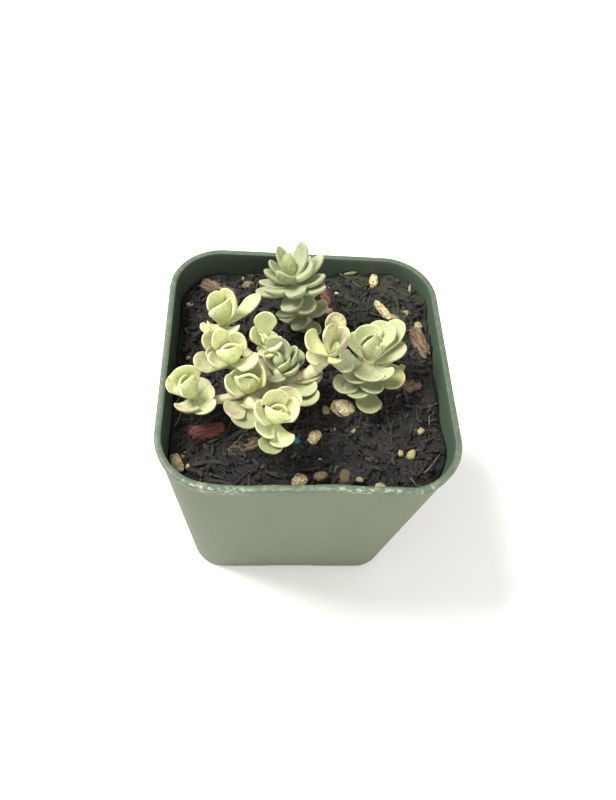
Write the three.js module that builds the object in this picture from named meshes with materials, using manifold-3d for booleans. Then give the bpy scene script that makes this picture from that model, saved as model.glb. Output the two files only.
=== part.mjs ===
// A small stonecrop in a square green nursery pot, modelled in millimetres with +Z up.
// The origin is on the surface that the pot stands on, under the middle of the pot, and -Y is the front.
// The plant has three leafy shoots: a tall grey one at the back, a short one at the right and a
// branching one at the left front, whose stem carries seven rosettes.
import * as THREE from "three";
import { mergeVertices } from "three/addons/utils/BufferGeometryUtils.js";
import Module from "manifold-3d";

const wasm = await Module();
wasm.setup();

// Driving dimensions of the pot.
const POT_HEIGHT = 63.5;
const RIM_SIDE = 63.5;
const RIM_CORNER = 12;
const BASE_SIDE = 53.6;
const BASE_CORNER = 8.4;
const WALL = 1.1;
const LIP_HEIGHT = 2.2;
const LIP_PROUD = 0.35;
const RIM_CHAMFER = 0.3;
const FOOT_HEIGHT = 1.3;
const FOOT_CHAMFER = 0.8;
const FLOOR_TOP = 2.7;
const FLOOR_FILLET = [1.4, 2];
const NOTCH_WIDTH = 12.5;
const NOTCH_SLOPE = 1.6;
const DRAIN_RADIUS = 3.2;
const DRAIN_OFFSET = 15.5;
const CORNER_STEPS = 6;
const ROUND_SIDES = 16;

// Driving dimensions of the potting mix and of the room that pieces keep between them.
const GAP = 0.3;
const SOIL_LEVEL = 57.6;
const SOIL_SLOPE = [0.055, 0.04];
const SOIL_RELIEF = 0.75;
const SOIL_EDGE_DROP = 0.8;
const SOIL_RINGS = 9;
const HOLE_DEPTH = 5;
const HOLE_ROOM = 0.45;
const HOLE_SIDES = 12;
const CUTTER_LENGTH = 20;

// Bark has square ends and pumice is round. Each kind starts its own run of shapes.
const BARK = { blunt: 1.9, firstShape: 1 };
const PUMICE = { blunt: 1.1, firstShape: 11 };

// Driving dimensions of the leaves. A station is a share of the leaf's length and a share of its
// half width there. Inner leaves are cupped and curled more than outer ones.
const LEAF_SIDES = 6;
const ROUND_LEAF = [[0, 0.36], [0.32, 0.56], [0.64, 0.98], [0.9, 0.76]];
const POINTED_LEAF = [[0, 0.36], [0.48, 0.78], [0.82, 0.64]];
const LEAF_FOOT = 0.4;
const LEAF_THICK = 1.35;
const POINTED_THICK = 1.9;
const THICK_SHARE = 0.34;
const TIP_THINNING = 0.35;
const BOWL_START = 0.55;
const INNER_CUP = 0.34;
const OUTER_CUP = 0.2;
const INNER_CURL = 0.2;
const OUTER_CURL = 0.1;
const EDGE_GROWTH = 2;
const TIP_GROWTH = 1.3;

// Driving dimensions of the stems. A stem ends in a dome, and a branch is wider at its foot.
const CORE_RADIUS = 1.05;
const CORE_TAPER = 0.7;
const BRANCH_FOOT = 1.25;
const DOME = 0.5;
const COLLAR = 1.8;
const CORE_STEPS = 1;
const COLUMN_STEPS = 6;
const COLUMN_SIDES = 8;
const BRANCH_STEPS = 4;
const BRANCH_SIDES = 7;

// The lower leaves of a column stand a golden turn apart, each a little off its even place and size.
const GOLDEN_TURN = 137.5;
const SIZE_VARIES = 0.06;
const TURN_VARIES = 7;
const OPEN_VARIES = 4;

// Points nearer than WELD are one point, and faces thinner than SLIVER are left out.
const WELD = 1e-4;
const SLIVER = 0.03;

const UP = new THREE.Vector3(0, 0, 1);
const RADIAN = Math.PI / 180;
const vector = (p) => new THREE.Vector3(...p);

// A repeatable value from -1 to 1 for the i-th thing of a kind.
function vary(i, kind) {
  const wave = Math.sin(i * 12.9898 + kind * 78.233) * 43758.5453;
  return 2 * (wave - Math.floor(wave)) - 1;
}

function mix(a, b, share) {
  return a + (b - a) * share;
}

// A closed mesh through rings of equal length, each end closed by a fan to its pole.
function loft(rings, startPole, endPole) {
  const sides = rings[0].length;
  const points = [startPole, ...rings.flat(), endPole];
  const last = points.length - 1;
  const faces = [];
  for (let k = 0; k < sides; k++) {
    const next = (k + 1) % sides;
    faces.push(0, 1 + next, 1 + k);
    for (let r = 0; r + 1 < rings.length; r++) {
      const a = 1 + r * sides;
      const b = a + sides;
      faces.push(a + k, a + next, b + next, a + k, b + next, b + k);
    }
    const top = 1 + (rings.length - 1) * sides;
    faces.push(last, top + k, top + next);
  }
  const flat = new Float32Array(points.flatMap((p) => [p.x, p.y, p.z]));
  const geometry = new THREE.BufferGeometry();
  geometry.setAttribute("position", new THREE.BufferAttribute(flat, 3));
  geometry.setIndex(faces);
  return geometry;
}

function solidOf(geometry) {
  const bare = geometry.clone();
  bare.deleteAttribute("normal");
  bare.deleteAttribute("uv");
  const merged = mergeVertices(bare, WELD);
  return new wasm.Manifold(new wasm.Mesh({
    numProp: 3,
    vertProperties: new Float32Array(merged.attributes.position.array),
    triVerts: new Uint32Array(merged.index.array),
  }));
}

function geometryOf(solid) {
  const { vertProperties, triVerts } = solid.getMesh();
  const geometry = new THREE.BufferGeometry();
  geometry.setAttribute("position", new THREE.BufferAttribute(vertProperties, 3));
  geometry.setIndex(new THREE.BufferAttribute(triVerts, 1));
  return geometry;
}

// The largest body of a solid, without the slivers and loose scraps that a cut leaves.
function wholeBody(solid) {
  const bodies = solid.simplify(SLIVER).decompose();
  return bodies.reduce((best, body) => (body.volume() > best.volume() ? body : best));
}

// A ring with round corners, for the pot's wall and the mix inside it.
function squareRing(side, corner, z) {
  const reach = side / 2 - corner;
  const ring = [];
  for (let quarter = 0; quarter < 4; quarter++) {
    const middle = (quarter + 0.5) * 90 * RADIAN;
    const cx = Math.sign(Math.cos(middle)) * reach;
    const cy = Math.sign(Math.sin(middle)) * reach;
    for (let i = 0; i <= CORNER_STEPS; i++) {
      const angle = (quarter + i / CORNER_STEPS) * 90 * RADIAN;
      ring.push(new THREE.Vector3(cx + corner * Math.cos(angle), cy + corner * Math.sin(angle), z));
    }
  }
  return ring;
}

// The pot's wall tapers evenly from the rim to the base. inset is measured in from its outer face.
function wallRing(z, inset) {
  const share = z / POT_HEIGHT;
  const side = mix(BASE_SIDE, RIM_SIDE - 2 * LIP_PROUD, share) - 2 * inset;
  return squareRing(side, mix(BASE_CORNER, RIM_CORNER, share) - inset, z);
}

function notch(alongX) {
  const half = NOTCH_WIDTH / 2;
  const outline = new THREE.Shape([
    new THREE.Vector2(-half - NOTCH_SLOPE, -FOOT_HEIGHT),
    new THREE.Vector2(half + NOTCH_SLOPE, -FOOT_HEIGHT),
    new THREE.Vector2(half + NOTCH_SLOPE, 0),
    new THREE.Vector2(half, FOOT_HEIGHT),
    new THREE.Vector2(-half, FOOT_HEIGHT),
    new THREE.Vector2(-half - NOTCH_SLOPE, 0),
  ]);
  const bar = new THREE.ExtrudeGeometry(outline, { depth: 2 * BASE_SIDE, bevelEnabled: false });
  bar.translate(0, 0, -BASE_SIDE);
  bar.rotateX(Math.PI / 2);
  if (alongX) bar.rotateZ(Math.PI / 2);
  return solidOf(bar);
}

function drain(x, y) {
  const hole = new THREE.CylinderGeometry(DRAIN_RADIUS, DRAIN_RADIUS, CUTTER_LENGTH, ROUND_SIDES);
  hole.rotateX(Math.PI / 2);
  hole.translate(x, y, 0);
  return solidOf(hole);
}

function potSolid() {
  const lipFoot = POT_HEIGHT - LIP_HEIGHT;
  const rings = [
    wallRing(0, FOOT_CHAMFER),
    wallRing(FOOT_CHAMFER, 0),
    wallRing(lipFoot, 0),
    wallRing(lipFoot + LIP_PROUD, -LIP_PROUD),
    wallRing(POT_HEIGHT - RIM_CHAMFER, -LIP_PROUD),
    wallRing(POT_HEIGHT, 0),
    wallRing(POT_HEIGHT, WALL - RIM_CHAMFER),
    wallRing(POT_HEIGHT - RIM_CHAMFER, WALL),
    wallRing(FLOOR_TOP + FLOOR_FILLET[1], WALL),
    wallRing(FLOOR_TOP, WALL + FLOOR_FILLET[0]),
  ];
  const shell = loft(rings, new THREE.Vector3(0, 0, 0), new THREE.Vector3(0, 0, FLOOR_TOP));
  const drains = [[0, 0], [1, 0], [-1, 0], [0, 1], [0, -1]]
    .map(([x, y]) => drain(x * DRAIN_OFFSET, y * DRAIN_OFFSET));
  return wholeBody(drains.reduce(
    (pot, hole) => pot.subtract(hole),
    solidOf(shell).subtract(notch(false)).subtract(notch(true)),
  ));
}

// The top of the mix rises to the right and to the back. It has clods of several sizes and is sunk a
// little along the pot's wall.
function soilHeight(x, y) {
  const clods = Math.sin(0.55 * x + 1.3) * Math.cos(0.48 * y - 0.6)
    + 0.7 * Math.sin(1.15 * x - 0.8 * y + 0.4) * Math.cos(0.9 * y + 0.5 * x)
    + 0.4 * Math.sin(2.1 * x + 1.7 * y) * Math.sin(1.9 * y - 1.2 * x + 0.9);
  const edge = Math.max(Math.abs(x), Math.abs(y)) / (RIM_SIDE / 2);
  return SOIL_LEVEL + SOIL_SLOPE[0] * x + SOIL_SLOPE[1] * y + SOIL_RELIEF * clods
    - SOIL_EDGE_DROP * edge ** 6;
}

function soilSolid() {
  const low = FLOOR_TOP + GAP;
  const outline = wallRing(SOIL_LEVEL, WALL + GAP)
    .map((p, i) => wallRing(soilHeight(p.x, p.y), WALL + GAP)[i]);
  const rings = [
    wallRing(low, WALL + GAP + FLOOR_FILLET[0]),
    wallRing(low + FLOOR_FILLET[1], WALL + GAP),
  ];
  for (let r = SOIL_RINGS; r > 0; r--) {
    rings.push(outline.map((p) => {
      const x = p.x * r / SOIL_RINGS;
      const y = p.y * r / SOIL_RINGS;
      return new THREE.Vector3(x, y, soilHeight(x, y));
    }));
  }
  return solidOf(loft(rings, new THREE.Vector3(0, 0, low), new THREE.Vector3(0, 0, soilHeight(0, 0))));
}

// place is x and y on the mix, heading and lean are in degrees, and size is length, width and
// thickness. sunk is the share of the thickness that is below the surface.
const CHIPS = {
  bark_long: { place: [-19.6, 23.4], heading: -22, lean: 4, size: [12, 3.8, 1.6], sunk: 0.45, colour: 0x7d5a3c },
  bark_right: { place: [27, 8.6], heading: -74, lean: 6, size: [8, 3, 1.8], sunk: 0.45, colour: 0x86604a },
  bark_front: { place: [-13.2, -18], heading: 24, lean: 3, size: [9, 2.6, 1.5], sunk: 0.5, colour: 0x4a3f38 },
  bark_under_right: { place: [22.3, -3.2], heading: 12, lean: 3, size: [9, 3, 1.6], sunk: 0.5, colour: 0x70544a },
  bark_red_left: { place: [-21.6, -14.8], heading: 8, lean: -5, size: [7, 3.2, 2], sunk: 0.4, colour: 0x8c3026 },
  bark_red_back: { place: [5, 22.6], heading: -72, lean: 4, size: [8, 2.6, 2], sunk: 0.4, colour: 0x9a3a2e },
};
const PEBBLES = {
  pumice_large: { place: [8, -9.3], heading: -28, lean: 0, size: [5.6, 3.8, 3.4], sunk: 0.35, colour: 0xb0a27c },
  pumice_middle: { place: [1.4, -16.2], heading: 60, lean: 0, size: [3.6, 2.6, 2.4], sunk: 0.35, colour: 0xaaa67c },
  pumice_front: { place: [-2, -26.6], heading: 10, lean: 0, size: [3, 2.9, 2.6], sunk: 0.3, colour: 0xb89c68 },
  pumice_back: { place: [17.6, 27.4], heading: 84, lean: 0, size: [4.2, 2.2, 2], sunk: 0.3, colour: 0x9c9a58 },
  pumice_stick: { place: [18.8, 17.6], heading: -62, lean: 0, size: [6.5, 2, 1.9], sunk: 0.35, colour: 0xb8a672 },
  pumice_corner: { place: [-27.6, -22.2], heading: -68, lean: 0, size: [4.4, 2.5, 2.2], sunk: 0.35, colour: 0x8f8c55 },
};

// A lump with a rough skin. blunt is 1 for a pebble and larger for a chip with square ends.
function lump({ place, heading, lean, size, sunk }, seed, blunt, grow) {
  const lumpShape = new THREE.IcosahedronGeometry(1, 1);
  const skin = lumpShape.attributes.position;
  const half = size.map((s) => s / 2);
  for (let i = 0; i < skin.count; i++) {
    const p = new THREE.Vector3().fromBufferAttribute(skin, i).normalize();
    const swell = 1 + 0.1 * Math.sin(3.1 * p.x + 2.3 * seed) * Math.cos(2.7 * p.y + seed)
      + 0.06 * Math.sin(6.3 * p.z + 5.1 * p.x + seed);
    const squared = [p.x, p.y, p.z].map((c) => Math.sign(c) * Math.abs(c) ** (1 / blunt));
    skin.setXYZ(i, ...squared.map((c, axis) => c * (half[axis] * swell + grow)));
  }
  lumpShape.rotateY(lean * RADIAN);
  lumpShape.rotateZ(heading * RADIAN);
  const [x, y] = place;
  lumpShape.translate(x, y, soilHeight(x, y) + size[2] * (0.5 - sunk));
  return solidOf(lumpShape);
}

// A fleshy leaf from base, its middle line starting along the first direction, its upper face towards
// up. curl bends the leaf towards up, and cup raises its edges and its end like the bowl of a spoon.
// Both are shares of the leaf's size. grow moves the skin outwards, and its sharp edges and tip further.
function leafSolid(base, along, up, leaf, grow) {
  const { length, width, thick, cup, curl, outline } = leaf;
  const side = new THREE.Vector3().crossVectors(along, up).normalize();
  const rings = outline.map(([s, w]) => {
    const bowl = Math.max(0, (s - BOWL_START) / (1 - BOWL_START)) ** 2;
    const centre = base.clone()
      .addScaledVector(along, length * s)
      .addScaledVector(up, curl * length * s * s + cup * width * bowl);
    const face = up.clone().addScaledVector(along, -2 * curl * s).normalize();
    const half = (width / 2) * w;
    const depth = (thick / 2) * (1 - TIP_THINNING * s);
    const dish = cup * width * w * w;
    const ring = [];
    for (let k = 0; k < LEAF_SIDES; k++) {
      const cos = Math.cos((k / LEAF_SIDES) * 2 * Math.PI);
      const sin = Math.sin((k / LEAF_SIDES) * 2 * Math.PI);
      const onEdge = k % (LEAF_SIDES / 2) === 0;
      const skin = onEdge
        ? new THREE.Vector2(2 * half * cos, 3 * dish).setLength(EDGE_GROWTH * grow)
        : new THREE.Vector2(depth * cos - 2 * dish * cos * sin, half * sin).setLength(grow);
      const across = half * cos + skin.x;
      const rise = depth * sin + dish * cos * cos + skin.y;
      ring.push(centre.clone().addScaledVector(side, across).addScaledVector(face, rise));
    }
    return ring;
  });
  const tip = base.clone()
    .addScaledVector(along, length + TIP_GROWTH * grow)
    .addScaledVector(up, curl * length + cup * width + TIP_GROWTH * grow);
  return solidOf(loft(rings.map((r) => r.reverse()), base.clone(), tip));
}

// A round stem along a curve, from its first radius to its last.
function stemSolid(curve, startRadius, endRadius, steps, sides, grow) {
  const frames = curve.computeFrenetFrames(steps, false);
  const rings = [];
  for (let i = 0; i <= steps; i++) {
    const centre = curve.getPointAt(i / steps);
    if (i === 0) centre.addScaledVector(curve.getTangentAt(0), -grow);
    if (i === steps) centre.addScaledVector(curve.getTangentAt(1), grow);
    const radius = mix(startRadius, endRadius, i / steps) + grow;
    const ring = [];
    for (let k = 0; k < sides; k++) {
      const angle = (k / sides) * 2 * Math.PI;
      ring.push(centre.clone()
        .addScaledVector(frames.normals[i], radius * Math.cos(angle))
        .addScaledVector(frames.binormals[i], radius * Math.sin(angle)));
    }
    rings.push(ring);
  }
  const start = curve.getPointAt(0).addScaledVector(curve.getTangentAt(0), -grow);
  const end = curve.getPointAt(1).addScaledVector(curve.getTangentAt(1), DOME * endRadius + grow);
  return solidOf(loft(rings, start, end));
}

// A leaf's directions about a stem: turn is round the stem from +X towards +Y, and open is the angle
// between the leaf and the stem's tip.
function leafDirections(axis, turn, open) {
  const outward = new THREE.Vector3(Math.cos(turn * RADIAN), Math.sin(turn * RADIAN), 0);
  outward.addScaledVector(axis, -outward.dot(axis)).normalize();
  const along = axis.clone().multiplyScalar(Math.cos(open * RADIAN))
    .addScaledVector(outward, Math.sin(open * RADIAN));
  const up = axis.clone().multiplyScalar(Math.sin(open * RADIAN))
    .addScaledVector(outward, -Math.cos(open * RADIAN));
  return { along, up };
}

// Rosettes. apex is where the innermost leaves meet and axis is the way that the rosette faces.
// A row of leaves is turn, open, length, width and how far below the apex the leaf is set.
const ROSETTES = {
  rosette_front: {
    apex: [-7.6, -17.9, 67.6],
    axis: [0.06, -0.1, 1],
    core: 2.6,
    leaves: [
      [160, 12, 2.8, 2.4, 0], [330, 14, 2.8, 2.4, 0.1],
      [246, 30, 4.8, 5, 1], [75, 36, 4.4, 3.6, 0.5], [100, 46, 7.2, 5.6, 0.7],
      [8, 54, 6.8, 5.2, 1], [190, 57, 6.8, 5.4, 1.2], [60, 70, 7.6, 6, 1.5],
      [232, 74, 5.8, 5, 1.8], [290, 86, 6.4, 5.4, 2.2], [260, 88, 7.4, 5.2, 2.6],
    ],
  },
  rosette_middle: {
    apex: [-13.3, -9.6, 65.6],
    axis: [0, -0.08, 1],
    core: 2.6,
    leaves: [
      [20, 12, 2.8, 2.6, 0], [200, 14, 3, 2.8, 0.1],
      [80, 28, 5, 4.8, 0.3], [345, 32, 3.8, 3.2, 0.5], [272, 25, 5.2, 5.8, 1.7],
      [36, 54, 6.6, 6.6, 1], [206, 58, 7, 5.4, 1.3], [139, 66, 5.4, 4.6, 1.5],
      [288, 78, 6, 5.2, 1.9], [345, 88, 5, 4.6, 2.4],
    ],
  },
  rosette_left: {
    apex: [-24.6, -10.4, 63.6],
    axis: [-0.1, -0.05, 1],
    core: 2.6,
    leaves: [
      [98, 12, 3, 2.6, 0], [270, 14, 2.8, 2.6, 0.1],
      [168, 38, 5.8, 5.2, 0.6], [86, 30, 5, 3.4, 0.4], [322, 20, 6.2, 5, 0.9],
      [109, 52, 7.2, 6.4, 1], [150, 75, 6.6, 5, 1.3], [254, 72, 5.8, 5.6, 1.6],
      [311, 80, 6.4, 5.2, 1.8], [4, 76, 5.2, 4, 2.1], [64, 92, 5.2, 4.6, 2.6],
    ],
  },
  rosette_upper: {
    apex: [-16.9, -4.4, 68.2],
    axis: [0.02, -0.14, 1],
    core: 2.6,
    leaves: [
      [200, 10, 2.6, 2.4, 0], [20, 14, 3, 2.6, 0.1],
      [106, 34, 5, 4.8, 0.3], [286, 26, 4.8, 5.8, 0.7], [133, 50, 8, 4.6, 0.8],
      [60, 45, 7.4, 4.6, 1], [332, 64, 7.4, 5, 1.2], [198, 64, 6.2, 4.2, 1.5],
      [193, 80, 8.2, 4.8, 1.9], [172, 66, 6.4, 3.6, 1.7], [138, 68, 8.6, 4.8, 2.2],
    ],
  },
  rosette_back_left: {
    apex: [-19.1, 6.6, 67.2],
    axis: [-0.05, 0.02, 1],
    core: 2.6,
    leaves: [
      [150, 16, 3.6, 2.6, 0], [330, 18, 3, 2.6, 0.1],
      [34, 42, 7.8, 6.4, 0.5], [138, 38, 7.6, 5, 0.7], [314, 26, 5.8, 6.2, 0.9],
      [25, 74, 10.4, 4.2, 1.4], [238, 65, 5, 4.4, 1.9], [297, 76, 5.6, 5, 1.8],
      [214, 80, 5.4, 4.6, 2.3], [92, 88, 5, 4.6, 2.6],
    ],
  },
  rosette_small: {
    apex: [-10.3, 1.5, 66.4],
    axis: [0.06, -0.05, 1],
    core: 2.6,
    leaves: [
      [220, 10, 2.6, 2.4, 0], [20, 16, 2.8, 2.6, 0.1],
      [88, 39, 8, 5, 0.4], [169, 49, 5.2, 3.6, 0.7], [329, 62, 5.8, 4.2, 0.9],
      [284, 74, 5, 4.4, 1.4], [46, 92, 4.6, 4.2, 2],
    ],
  },
  rosette_leaning: {
    apex: [3.8, -3.6, 70.8],
    axis: [0.25, -0.05, 1],
    core: 2.8,
    leaves: [
      [200, 10, 3, 2.4, 0], [137, 46, 7, 4, 0.3],
      [92, 62, 8.6, 4.6, 0.6], [166, 84, 6.8, 6, 0.8], [62, 44, 7, 3.4, 0.9],
      [346, 26, 7.2, 4.2, 1.2], [284, 69, 3.8, 3.2, 1.2], [199, 96, 5, 3.8, 2],
      [332, 92, 5.8, 4.2, 1.8],
    ],
  },
};

// Columns: a stem in the mix with leaves from its foot to its tip. root, waist and apex give the stem's
// curve, and leaves are rows like those of a rosette. lower leaves are set by a rule, from one height
// below the apex to another.
const COLUMNS = {
  column_back: {
    root: [0.2, 12.4],
    waist: [-1.6, 13, 65.5],
    apex: [-4.2, 14, 74.2],
    radius: [1.6, 1.4],
    outline: POINTED_LEAF,
    thick: POINTED_THICK,
    leaves: [
      [281, 4, 5.4, 4.2, 0.1], [124, 31, 8, 3.8, 0.5], [36, 52, 8.2, 6.2, 0.7], [342, 66, 7, 5.6, 0.8],
      [238, 52, 6.2, 5, 1], [21, 80, 8.6, 5, 1.6], [170, 49, 7.2, 4, 1.4], [191, 59, 7.6, 4.4, 1.7],
      [281, 82, 7.6, 6, 2.2], [337, 79, 8.4, 5, 2.3], [195, 73, 8.2, 4.4, 2.5], [220, 73, 8.4, 5, 2.8],
      [90, 66, 7, 5, 2.6], [55, 80, 7.4, 5, 3], [325, 85, 8.6, 5, 3.2], [185, 90, 8.8, 4.8, 3.7],
      [259, 88, 8, 6, 4.9], [292, 96, 8, 6.8, 5.4],
    ],
    lower: { count: 12, from: 6.4, to: 15, phase: 10, open: [82, 98], length: 6.3, aspect: 0.8 },
  },
  column_right: {
    root: [12.8, -2.6],
    waist: [13.2, -2.6, 61],
    apex: [12.8, -1.6, 67.2],
    radius: [1.6, 1.3],
    outline: ROUND_LEAF,
    thick: LEAF_THICK,
    leaves: [
      [150, 12, 3, 2.8, 0], [322, 20, 3.4, 3, 0.2],
      [100, 30, 5.6, 5, 0.3], [322, 26, 6.4, 5.4, 0.9], [226, 28, 5.2, 5, 1],
      [97, 62, 7.2, 6.4, 0.9], [54, 62, 8.8, 6.6, 1.2], [125, 72, 7.2, 5.2, 1.6],
      [37, 68, 11.2, 5.6, 1.8], [262, 90, 7.4, 6.8, 1.9], [295, 88, 7.4, 5.6, 2.2],
      [11, 78, 8.8, 6, 2.4], [229, 93, 7.8, 5.6, 2.6], [175, 80, 7, 5, 3],
      [272, 93, 8, 5.4, 4.4], [219, 97, 9.6, 6, 4.6], [326, 92, 8.6, 6, 4.8],
      [243, 98, 9, 6, 4.8], [36, 88, 8, 5.6, 4.4], [88, 88, 7.6, 5.8, 4.6],
      [268, 103, 9.8, 6, 6.4], [4, 96, 8, 5.6, 6],
    ],
  },
  branching_stem: {
    root: [-5, -5.6],
    waist: [-5.8, -5, 61.2],
    apex: [-6.6, -3.9, 64.6],
    radius: [2, 1.4],
    outline: ROUND_LEAF,
    thick: LEAF_THICK,
    leaves: [
      [250, 16, 3, 2.8, 0], [315, 61, 4.2, 4, 0.2], [30, 24, 4.6, 3.4, 0.3],
      [6, 58, 6.8, 5, 0.9], [64, 39, 7.6, 6.2, 1], [324, 77, 5.6, 4.6, 0.8], [263, 88, 5, 4.2, 1],
      [150, 46, 6, 4, 1.4], [343, 98, 8.8, 5.4, 2.2], [40, 78, 7.4, 5.2, 2.6], [108, 66, 7, 5.4, 2.6],
      [316, 98, 9.6, 5.4, 2.8], [312, 104, 11.4, 5.8, 4], [250, 84, 9, 6, 4.2],
      [130, 80, 8, 5.4, 4.4], [284, 92, 9.4, 5.8, 5], [80, 90, 7.8, 5.4, 5], [0, 94, 9, 5.6, 5.2],
    ],
  },
};

// The bare branches of the branching stem. Each runs from its crown by way of a bend to a rosette.
const CROWN = [-5.9, -4.9, 61.4];
const BRANCHES = {
  rosette_front: { bend: [-12.6, -12.4, 64.2], radius: 1.2 },
  rosette_middle: { bend: [-11, -8, 63.4], radius: 1.1 },
  rosette_left: { bend: [-17.6, -10, 62], radius: 0.95 },
  rosette_upper: { bend: [-13.4, -3.8, 64.6], radius: 1.1 },
  rosette_back_left: { bend: [-14, 1.4, 63.2], radius: 1.05 },
  rosette_small: { bend: [-9.4, -0.2, 64], radius: 1 },
  rosette_leaning: { bend: [-0.8, -5.4, 65], radius: 1.2 },
};

// Old leaves that hang under the bend of a branch, in rows like those of a rosette.
const HANGING = {
  branch: "rosette_front",
  leaves: [[256, 88, 7.2, 6, 7.4], [222, 84, 6.8, 5.6, 8]],
};

// One leaf of a row, from its place on a stem's curve. Its turn and opening are about axis.
function leafOf([turn, open, length, width], foot, axis, { outline, thick }, grow) {
  const { along, up } = leafDirections(axis, turn, open);
  const spread = Math.min(open / 90, 1);
  const leaf = {
    length: length - LEAF_FOOT,
    width,
    thick: Math.min(thick, THICK_SHARE * width),
    cup: mix(INNER_CUP, OUTER_CUP, spread),
    curl: mix(INNER_CURL, OUTER_CURL, spread),
    outline,
  };
  return leafSolid(foot.addScaledVector(along, LEAF_FOOT), along, up, leaf, grow);
}

// The leaves of a rosette, a column or a branch. The ones of a branch hang about an upright axis.
function leavesAlong(curve, rows, form, grow, upright) {
  const stemLength = curve.getLength();
  return wasm.Manifold.union(rows.map((row) => {
    const below = row[4];
    const share = Math.max(0, 1 - below / stemLength);
    return leafOf(row, curve.getPointAt(share), upright ? UP : curve.getTangentAt(share), form, grow);
  }));
}

const ROUND_FORM = { outline: ROUND_LEAF, thick: LEAF_THICK };

function rosetteShoot({ apex, axis, core, leaves }) {
  const direction = vector(axis).normalize();
  const top = vector(apex);
  const line = new THREE.LineCurve3(top.clone().addScaledVector(direction, -core), top);
  const endRadius = CORE_TAPER * CORE_RADIUS;
  return {
    stem: (grow) => stemSolid(line, CORE_RADIUS, endRadius, CORE_STEPS, COLUMN_SIDES, grow),
    blades: (grow) => leavesAlong(line, leaves, ROUND_FORM, grow, false),
  };
}

// The lower leaves of a column as rows: each stands a golden turn on from the one above it.
function lowerLeaves({ count, from, to, phase, open, length, aspect }) {
  return Array.from({ length: count }, (_, i) => {
    const share = i / (count - 1);
    const size = length * (1 + SIZE_VARIES * vary(i, 1));
    const turn = phase + i * GOLDEN_TURN + TURN_VARIES * vary(i, 2);
    const opening = mix(open[0], open[1], share) + OPEN_VARIES * vary(i, 3);
    return [turn, opening, size, size * aspect, mix(from, to, share)];
  });
}

function columnCurve({ root, waist, apex }) {
  const foot = vector([...root, SOIL_LEVEL - HOLE_DEPTH]);
  const collar = vector([...root, SOIL_LEVEL + COLLAR]);
  return new THREE.CatmullRomCurve3([foot, collar, vector(waist), vector(apex)]);
}

function columnShoot(column) {
  const curve = columnCurve(column);
  const rows = [...column.leaves, ...(column.lower ? lowerLeaves(column.lower) : [])];
  return {
    stem: (grow) => stemSolid(curve, ...column.radius, COLUMN_STEPS, COLUMN_SIDES, grow),
    blades: (grow) => leavesAlong(curve, rows, column, grow, false),
  };
}

function branchCurve(name) {
  const { apex, axis, core } = ROSETTES[name];
  const { bend, radius } = BRANCHES[name];
  const neck = vector(apex).addScaledVector(vector(axis).normalize(), -core - GAP - DOME * radius);
  return new THREE.CatmullRomCurve3([vector(CROWN), vector(bend), neck]);
}

function branchesSolid(grow) {
  return wasm.Manifold.union(Object.entries(BRANCHES).map(([name, { radius }]) => (
    stemSolid(branchCurve(name), BRANCH_FOOT * radius, radius, BRANCH_STEPS, BRANCH_SIDES, grow)
  )));
}

function hangingLeaves(grow) {
  return leavesAlong(branchCurve(HANGING.branch), HANGING.leaves, ROUND_FORM, grow, true);
}

// The plain hole in which a stem stands in the mix.
function stemHole([x, y], radius) {
  const hole = new THREE.CylinderGeometry(radius, radius, CUTTER_LENGTH, HOLE_SIDES);
  hole.rotateX(Math.PI / 2);
  hole.translate(x, y, SOIL_LEVEL - HOLE_DEPTH - GAP + CUTTER_LENGTH / 2);
  return solidOf(hole);
}

function finish(colour, roughness) {
  return new THREE.MeshStandardMaterial({ color: colour, roughness, metalness: 0 });
}

const part = new THREE.Group();

function add(name, solid, material) {
  const mesh = new THREE.Mesh(geometryOf(solid), material);
  mesh.name = name;
  part.add(mesh);
}

const PALE_LEAF = finish(0xb9c38c, 0.7);
const GREY_LEAF = finish(0x93a183, 0.75);

add("pot", potSolid(), finish(0x4c6650, 0.5));

let mixSolid = soilSolid();
const lumps = [[CHIPS, BARK], [PEBBLES, PUMICE]].flatMap(([table, { blunt, firstShape }]) => (
  Object.entries(table).map(([name, spec], i) => ({
    name,
    colour: spec.colour,
    solid: (grow) => lump(spec, firstShape + i, blunt, grow),
  }))
));
for (const { name, colour, solid } of lumps) {
  mixSolid = mixSolid.subtract(solid(GAP));
  add(name, wholeBody(solid(0)), finish(colour, 0.85));
}
for (const { root, radius } of Object.values(COLUMNS)) {
  mixSolid = mixSolid.subtract(stemHole(root, radius[0] + HOLE_ROOM));
}
add("potting_mix", wholeBody(mixSolid), finish(0x2b2724, 0.95));

// Each shoot keeps clear of the mix, the bark and pumice, and the shoots before it: its leaves are
// trimmed where they would come too near. A shoot has a way to build its stem and one for its leaves.
let taken = mixSolid.translate([0, 0, GAP]);
for (const { solid } of lumps) {
  taken = taken.add(solid(GAP));
}
function addShoot(name, { stem, blades }, material, alsoClear) {
  const own = stem(0).add(blades(0).subtract(taken));
  add(name, wholeBody(alsoClear ? own.subtract(alsoClear) : own), material);
  taken = taken.add(stem(GAP)).add(blades(GAP));
}

const branching = columnShoot(COLUMNS.branching_stem);
const forked = {
  stem: (grow) => branching.stem(grow).add(branchesSolid(grow)),
  blades: (grow) => branching.blades(grow).add(hangingLeaves(grow)),
};
for (const [name, rosette] of Object.entries(ROSETTES)) {
  addShoot(name, rosetteShoot(rosette), PALE_LEAF, forked.stem(GAP));
}
addShoot("branching_stem", forked, GREY_LEAF);
addShoot("column_back", columnShoot(COLUMNS.column_back), GREY_LEAF);
addShoot("column_right", columnShoot(COLUMNS.column_right), GREY_LEAF);

export default part;
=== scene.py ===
"""Looks of a small stonecrop in a square green nursery pot, built over its solid model."""

import math

import bmesh
import bpy
import numpy as np
from mathutils import Matrix, Vector


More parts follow.
